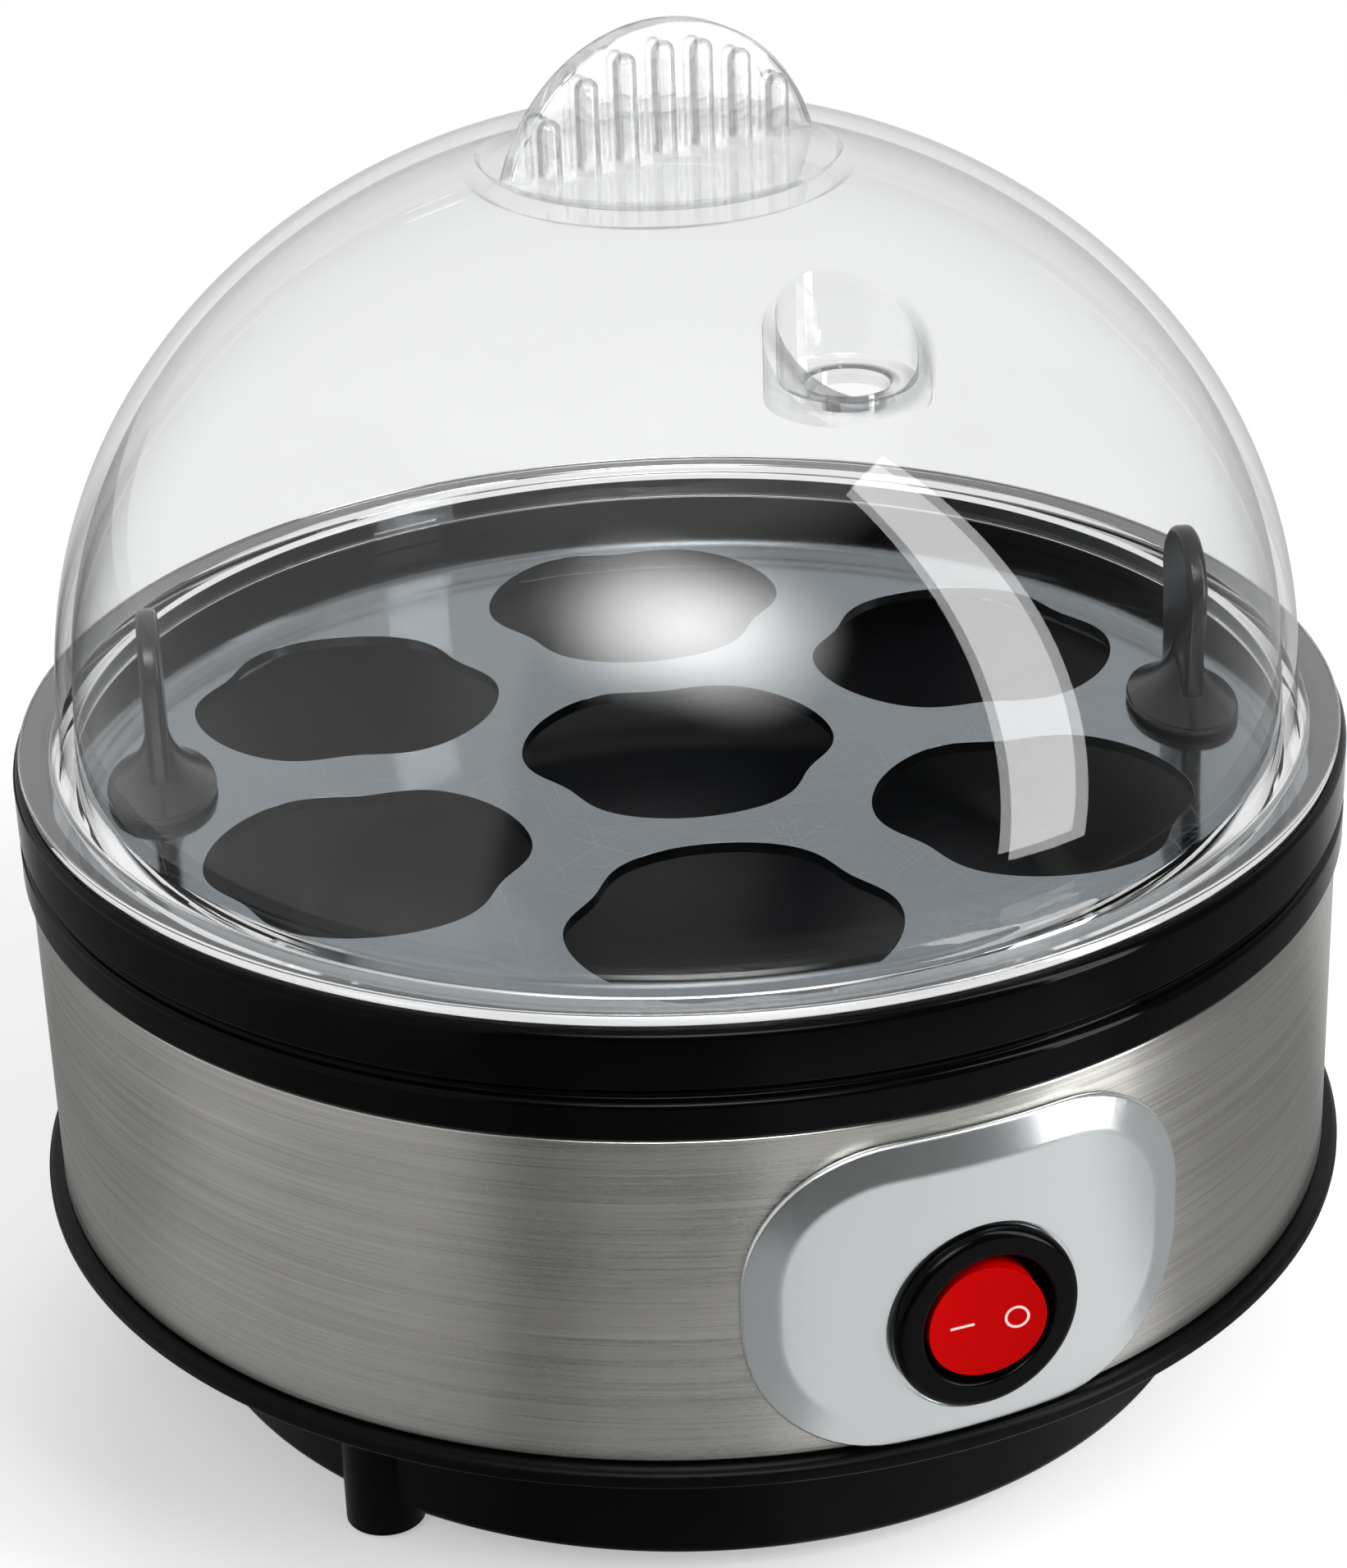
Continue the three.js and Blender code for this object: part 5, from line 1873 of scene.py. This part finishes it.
@dataclass
class Fixings(SubAssembly):
    """Cross-head screws, ribbed foot pads and the cord gland."""

    screw_radius: float = 1.5
    thread_depth: float = 0.28
    thread_pitch: float = 1.1
    thread_margin: float = 1.5
    tip_length: float = 1.2
    tip_radius: float = 0.3
    cross_half: Point = (1.9, 0.35)
    head_radius: float = 3.1
    head_top: float = 26.2
    head_height: float = 1.9
    shank_top: float = 41.4
    recess: float = 1.1
    pad_radius: float = 4.0
    pad_thickness: float = 1.6
    grip_depth: float = 0.3
    grips: tuple[tuple[float, ...], ...] = ((1.2, 1.4, 1.9, 2.1), (2.6, 2.8, 3.2, 3.35))
    gland_bore: float = 3.9
    gland_wall: float = 1.8
    gland_rim: float = 2.0
    gland_gap: float = 0.3
    rim_thickness: float = 1.7
    mouth: tuple[Corner, ...] = ((1.6, -1.4, 0.6), (1.1, 0.0, 0.5), (0.0, 0.0, 0.35))
    gland_start: float = 76.2
    gland_end: float = 86.752

    def screw(self) -> Piece:
        """One screw at the unit's axis, head down."""
        bench = self.bench
        low = self.head_top - self.head_height
        thread: list[Corner] = []
        pitch, root = self.thread_pitch, self.screw_radius - self.thread_depth
        height = self.head_top + 1
        while height + pitch < self.shank_top - self.thread_margin:
            thread += [(root, height, 0), (self.screw_radius, height + pitch / 2, 0)]
            height += pitch
        profile = filleted(
            [
                (0, low, 0),
                (self.head_radius, low, 0.7),
                (self.head_radius, self.head_top, 0.15),
                (self.screw_radius, self.head_top, 0),
                *thread,
                (self.screw_radius - self.tip_radius, self.shank_top - self.tip_length, 0),
                (self.tip_radius, self.shank_top, 0),
                (0, self.shank_top, 0),
            ],
            closed=False,
        )
        screw = bench.lathe("base_screw_cross", profile, 32)
        for along, across in (self.cross_half, self.cross_half[::-1]):
            corners = (-along, -across, low - OVERCUT), (along, across, low + self.recess)
            bench.combine(screw, bench.slab("cross", *corners), Join.CUT)
        return screw

    def pad(self) -> Piece:
        """One foot pad with a rounded edge and two grip rings underneath."""
        grips: list[Corner] = []
        for ring in self.grips:
            heights = (0, self.grip_depth, self.grip_depth, 0)
            grips += [(radius, height, 0) for radius, height in zip(ring, heights)]
        profile = filleted(
            [
                (0, 0, 0),
                *grips,
                (self.pad_radius, 0, 0.3),
                (self.pad_radius, self.pad_thickness, 0.15),
                (0, self.pad_thickness, 0),
            ],
            closed=False,
        )
        return self.bench.lathe("rubber_pad", profile, 64)

    def gland(self) -> Piece:
        """The cord gland's bush: rounded rim outside, sleeve inside."""
        sleeve = self.gland_bore + self.gland_wall
        seat = self.layout.band_radius + self.gland_gap
        rim = sleeve + self.gland_rim
        profile = filleted(
            [
                (self.gland_bore, self.gland_start, 0.3),
                (sleeve, self.gland_start, 0.5),
                (sleeve, seat, 0.2),
                (rim, seat, 0.3),
                (rim, seat + self.rim_thickness, 0.8),
                *[(self.gland_bore + x, self.gland_end + z, r) for x, z, r in self.mouth],
            ],
            steps=5,
        )
        bush = self.bench.lathe("gland_bush", profile, 72)
        self.bench.turn(bush, -90, "X")
        return self.bench.shift(bush, (0, 0, self.layout.gland_height))

    def build(self) -> None:
        """Models and dresses the small pieces."""
        lots = (
            (self.screw(), "cross_screw", PLATED, "base_screw", self.layout.posts()),
            (self.pad(), "ribbed_pad", RUBBER, "foot_pad", self.layout.legs()),
        )
        for model, name, finish, node, places in lots:
            for i, place in enumerate(places, start=1):
                one = self.bench.shift(self.bench.copy(model, f"{name}_{i}"), place)
                self.hand_over(one, finish, Body.BASE, f"{node}_{i}")
            bpy.data.objects.remove(model)
        self.hand_over(self.gland(), RUBBER, Body.BASE, "cord_gland")


@dataclass
class Works(SubAssembly):
    """The heater, the wiring and the clips, whose CAD shapes are kept and dressed."""

    dressed: dict[str, Finish] = field(
        default_factory=lambda: {
            "pan_gasket": SILICONE,
            "heat_spreader": ALUMINIUM,
            "heating_element": SHEATH,
            "element_pin_left": BRASS,
            "element_pin_right": BRASS,
            "bridge_strap": PLATED,
            "pan_stud": PLATED,
            "stud_nut": BRASS,
            "thermostat": CERAMIC,
            "thermal_fuse": CERAMIC,
            "connector_block": CERAMIC,
            "lead_live_in": SLEEVE,
            "lead_live_out": SLEEVE,
            "lead_element": SLEEVE,
            "lead_neutral": SLEEVE,
            "neon_lamp": LAMP_GLASS,
            "switch_blade_1": BRASS,
            "switch_blade_2": BRASS,
            "switch_blade_3": BRASS,
            "ear_clip_right": PLATED,
            "ear_clip_left": PLATED,
        }
    )

    def build(self) -> None:
        """Dresses the CAD nodes that stay."""
        for name, finish in self.dressed.items():
            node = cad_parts[name]
            node.data.materials.clear()
            node.data.materials.append(finish.material())
            log.info("%s: CAD shape kept, %s", name, finish.name)


# Studio


@dataclass(frozen=True)
class Lamp:
    """A soft rectangular lamp: place and aim in millimetres, size in millimetres, power in watts.

    Only a mirrored lamp shows in polished surfaces.
    """

    name: str
    place: Place
    aim: Place
    width: float
    height: float
    power: float
    mirrored: bool = False

    def hang(self) -> None:
        """Hangs the lamp."""
        bpy.ops.object.light_add(type="AREA", location=Vector(self.place) * MM)
        lamp = bpy.context.active_object
        lamp.name = lamp.data.name = self.name
        lamp.data.shape = "RECTANGLE"
        lamp.data.size = self.width * MM
        lamp.data.size_y = self.height * MM
        lamp.data.energy = self.power
        lamp.visible_glossy = lamp.visible_transmission = self.mirrored
        way = Vector(self.aim) - Vector(self.place)
        lamp.rotation_euler = way.to_track_quat("-Z", "Y").to_euler()


@dataclass
class Studio:
    """Camera, lamps, pale floor and white surroundings.

    Polished surfaces see grey cards round the object, by bearing in degrees, and not plain
    white.
    """

    camera_place: Place = (-170.07, -410.3, 291.3)
    camera_bearing: float = -22.4
    camera_dip: float = 26.06
    camera_roll: float = -2.03
    lens: float = 89.6
    ambient: float = 0.42
    glow: float = 0.4
    floor_shade: float = 0.62
    floor_radius: float = 2600.0
    top_from: float = 0.74
    top_sharpness: float = 8.0
    top_grey: float = 0.9
    glows: tuple[Point, ...] = ((-122.0, 42.0), (-110.0, 40.0), (-98.0, 36.0))
    glow_spread: float = 20.0
    glow_grey: float = 16.5
    glow_share: float = 0.42
    glow_falloff: float = 2.2
    grain_size: Place = (40.0, 40.0, 40.0)
    grain_contrast: float = 0.02
    near_floor: float = 240.0
    near_over: float = 40.0
    white_from: float = 330.0
    white_over: float = 300.0
    wall_cards: tuple[Point, ...] = (
        (-180.0, 0.72), (-146.0, 0.72), (-139.0, 0.02), (-62.0, 0.02), (-40.0, 0.06),
        (-20.0, 0.10), (2.0, 0.3), (25.0, 0.95), (120.0, 1.0), (150.0, 0.75), (180.0, 0.72),
    )
    near_cards: tuple[Point, ...] = (
        (-180.0, 0.39), (-150.0, 0.35), (-140.0, 0.29), (-134.0, 0.20), (-129.0, 0.21),
        (-123.0, 0.28), (-112.0, 0.30), (-107.0, 0.36), (-101.0, 0.70), (-60.0, 0.77),
        (-48.0, 0.33), (-8.0, 0.25), (15.0, 0.60), (60.0, 0.9), (98.0, 0.6), (131.0, 0.21),
        (160.0, 0.26), (180.0, 0.39),
    )
    far_cards: tuple[Point, ...] = (
        (-180.0, 0.75), (-146.0, 0.72), (-139.0, 0.02), (-62.0, 0.02), (-40.0, 0.10),
        (-20.0, 0.2), (5.0, 0.6), (60.0, 0.9), (98.0, 0.8), (104.0, 0.1), (116.0, 0.1),
        (128.0, 0.6), (150.0, 0.75), (180.0, 0.75),
    )
    lamps: tuple[Lamp, ...] = (
        Lamp("key", (420, -700, 620), (0, 0, 60), 520, 520, 5.0),
        Lamp("fill", (-620, -500, 800), (0, 0, 60), 520, 520, 3.0),
        Lamp("back", (260, 620, 700), (0, 0, 80), 700, 420, 3.0),
        Lamp("strip", (184, -254, 275), (8, -68, 275), 80, 545, 1.25, mirrored=True),
    )

    def camera(self) -> None:
        """Sets the camera up at the photograph's viewing angle."""
        bpy.ops.object.camera_add(location=Vector(self.camera_place) * MM)
        camera = bpy.context.active_object
        camera.name = camera.data.name = "camera"
        camera.data.lens = self.lens
        camera.data.sensor_width = 36.0
        camera.data.clip_start = 0.01
        turn = (
            Matrix.Rotation(math.radians(self.camera_bearing), 4, "Z")
            @ Matrix.Rotation(math.radians(90 - self.camera_dip), 4, "X")
            @ Matrix.Rotation(math.radians(self.camera_roll), 4, "Z")
        )
        camera.matrix_world = Matrix.Translation(Vector(self.camera_place) * MM) @ turn
        bpy.context.scene.camera = camera

    @staticmethod
    def grey_by_bearing(sheet: Sheet, place: Wire, cards: Sequence[Point]) -> Wire:
        """Grey level of the cards that stand round the object.

        Args:
            sheet: the node tree.
            place: a place or direction seen from the object.
            cards: bearings in degrees, each with its grey level.

        Returns:
            The grey level as a colour.
        """
        ends = {0: sheet.along(place, 1), 1: sheet.along(place, 0)}
        bearing = sheet.node("ShaderNodeMath", {"operation": "ARCTAN2"}, ends)
        stops = [((angle + 180) / 360, (grey, grey, grey)) for angle, grey in cards]
        return sheet.node(
            "ShaderNodeValToRGB", {"stops": stops}, {0: bearing / (2 * math.pi) + 0.5}
        )

    @staticmethod
    def by_path(sheet: Sheet, soft: Wire, cards: Wire, seen: Wire) -> Wire:
        """Picks what a ray sees by what it has met on its way.

        Args:
            sheet: the node tree.
            soft: shader for rays that have left a matt surface.
            cards: shader for rays that a polished surface has turned back.
            seen: shader for the camera, straight or through clear pieces.

        Returns:
            The mixed shader.
        """
        mirrored = sheet.path("Glossy Depth").held()
        scattered = sheet.path("Diffuse Depth").held()
        unbent = (sheet.path("Is Camera Ray") + sheet.path("Is Transmission Ray")).held()
        lit = sheet.blend(mirrored * (1 - scattered), soft, cards)
        return sheet.blend(unbent * (1 - mirrored) * (1 - scattered), lit, seen)

    def surroundings(self) -> None:
        """Lights the scene softly from all round, on white."""
        sheet = Sheet(bpy.context.scene.world or bpy.data.worlds.new("studio"))
        bpy.context.scene.world = sheet.owner
        sheet.owner.cycles.sampling_method = "NONE"
        way = sheet.where("Generated")
        overhead = ((sheet.along(way, 2) - self.top_from) * self.top_sharpness).held()
        walls = self.grey_by_bearing(sheet, way, self.wall_cards)
        grey = sheet.between(overhead, walls, (self.top_grey,) * 3)
        edge = math.cos(math.radians(self.glow_spread))
        share: Wire | float = 0.0
        for bearing, rise in self.glows:
            toward = Matrix.Rotation(math.radians(bearing), 3, "Z") @ Vector(
                (math.cos(math.radians(rise)), 0, math.sin(math.radians(rise)))
            )
            product, ends = {"operation": "DOT_PRODUCT"}, {0: way, 1: tuple(toward)}
            facing = sheet.node("ShaderNodeVectorMath", product, ends, "Value")
            spot = ((facing - edge) / (1 - edge)).held() ** self.glow_falloff
            share = spot * self.glow_share + share
        lit = sheet.between(share.at_most(1.0), grey, (self.glow_grey,) * 3)
        looks = ((WHITE, self.ambient), (lit, 1.0), (WHITE, 1.0))
        soft, cards, white = (
            sheet.node("ShaderNodeBackground", None, {"Color": colour, "Strength": strength})
            for colour, strength in looks
        )
        sheet.show(self.by_path(sheet, soft, cards, white), "ShaderNodeOutputWorld")

    def floor(self) -> None:
        """Lays a pale floor that keeps the object's shadow and shows white round it."""
        bpy.ops.object.select_all(action="DESELECT")
        bpy.ops.mesh.primitive_circle_add(
            vertices=128, radius=self.floor_radius * MM, fill_type="NGON"
        )
        floor = bpy.context.active_object
        floor.name = floor.data.name = "pale_floor"
        sheet = Sheet(bpy.data.materials.new("pale_floor"))
        sheet.owner.cycles.emission_sampling = "NONE"
        here = sheet.where()
        pale, paler = (self.floor_shade,) * 3, (self.floor_shade + self.grain_contrast,) * 3
        grain = sheet.between(sheet.noise(self.grain_size, 3.0), pale, paler)
        matt = sheet.node("ShaderNodeBsdfDiffuse", None, {"Color": grain})
        near = self.grey_by_bearing(sheet, here, self.near_cards)
        far = self.grey_by_bearing(sheet, here, self.far_cards)
        away = sheet.node("ShaderNodeVectorMath", {"operation": "LENGTH"}, {0: here}, "Value") / MM
        grey = sheet.between(((away - self.near_floor) / self.near_over + 0.5).held(), near, far)
        glow, card, white = (
            sheet.node("ShaderNodeEmission", None, {"Color": colour, "Strength": strength})
            for colour, strength in ((WHITE, self.glow), (grey, 1.0), (WHITE, 1.0))
        )
        near_light = sheet.node("ShaderNodeAddShader", None, {0: matt, 1: glow})
        distance = ((away - self.white_from) / self.white_over).held()
        bright = sheet.blend(distance, near_light, white)
        sheet.show(self.by_path(sheet, matt, card, bright))
        floor.data.materials.append(sheet.owner)

    def set_up(self) -> None:
        """Sets up everything that isn't the object."""
        self.camera()
        self.surroundings()
        self.floor()
        for lamp in self.lamps:
            lamp.hang()
        bpy.context.scene.view_settings.view_transform = "Standard"
        log.info("studio: %d lamps", len(self.lamps))


def main() -> None:
    """Builds the looks of every sub-assembly and the studio."""
    logging.basicConfig(level=logging.INFO, format="%(message)s")
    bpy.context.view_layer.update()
    Studio().set_up()
    for part in (Housing(), SwitchPanel(), Switch(), Fixings(), Works(), EggTray(), Lid()):
        part.build()
        log.info("%s done", type(part).__name__)


if __name__ == "__main__":
    main()
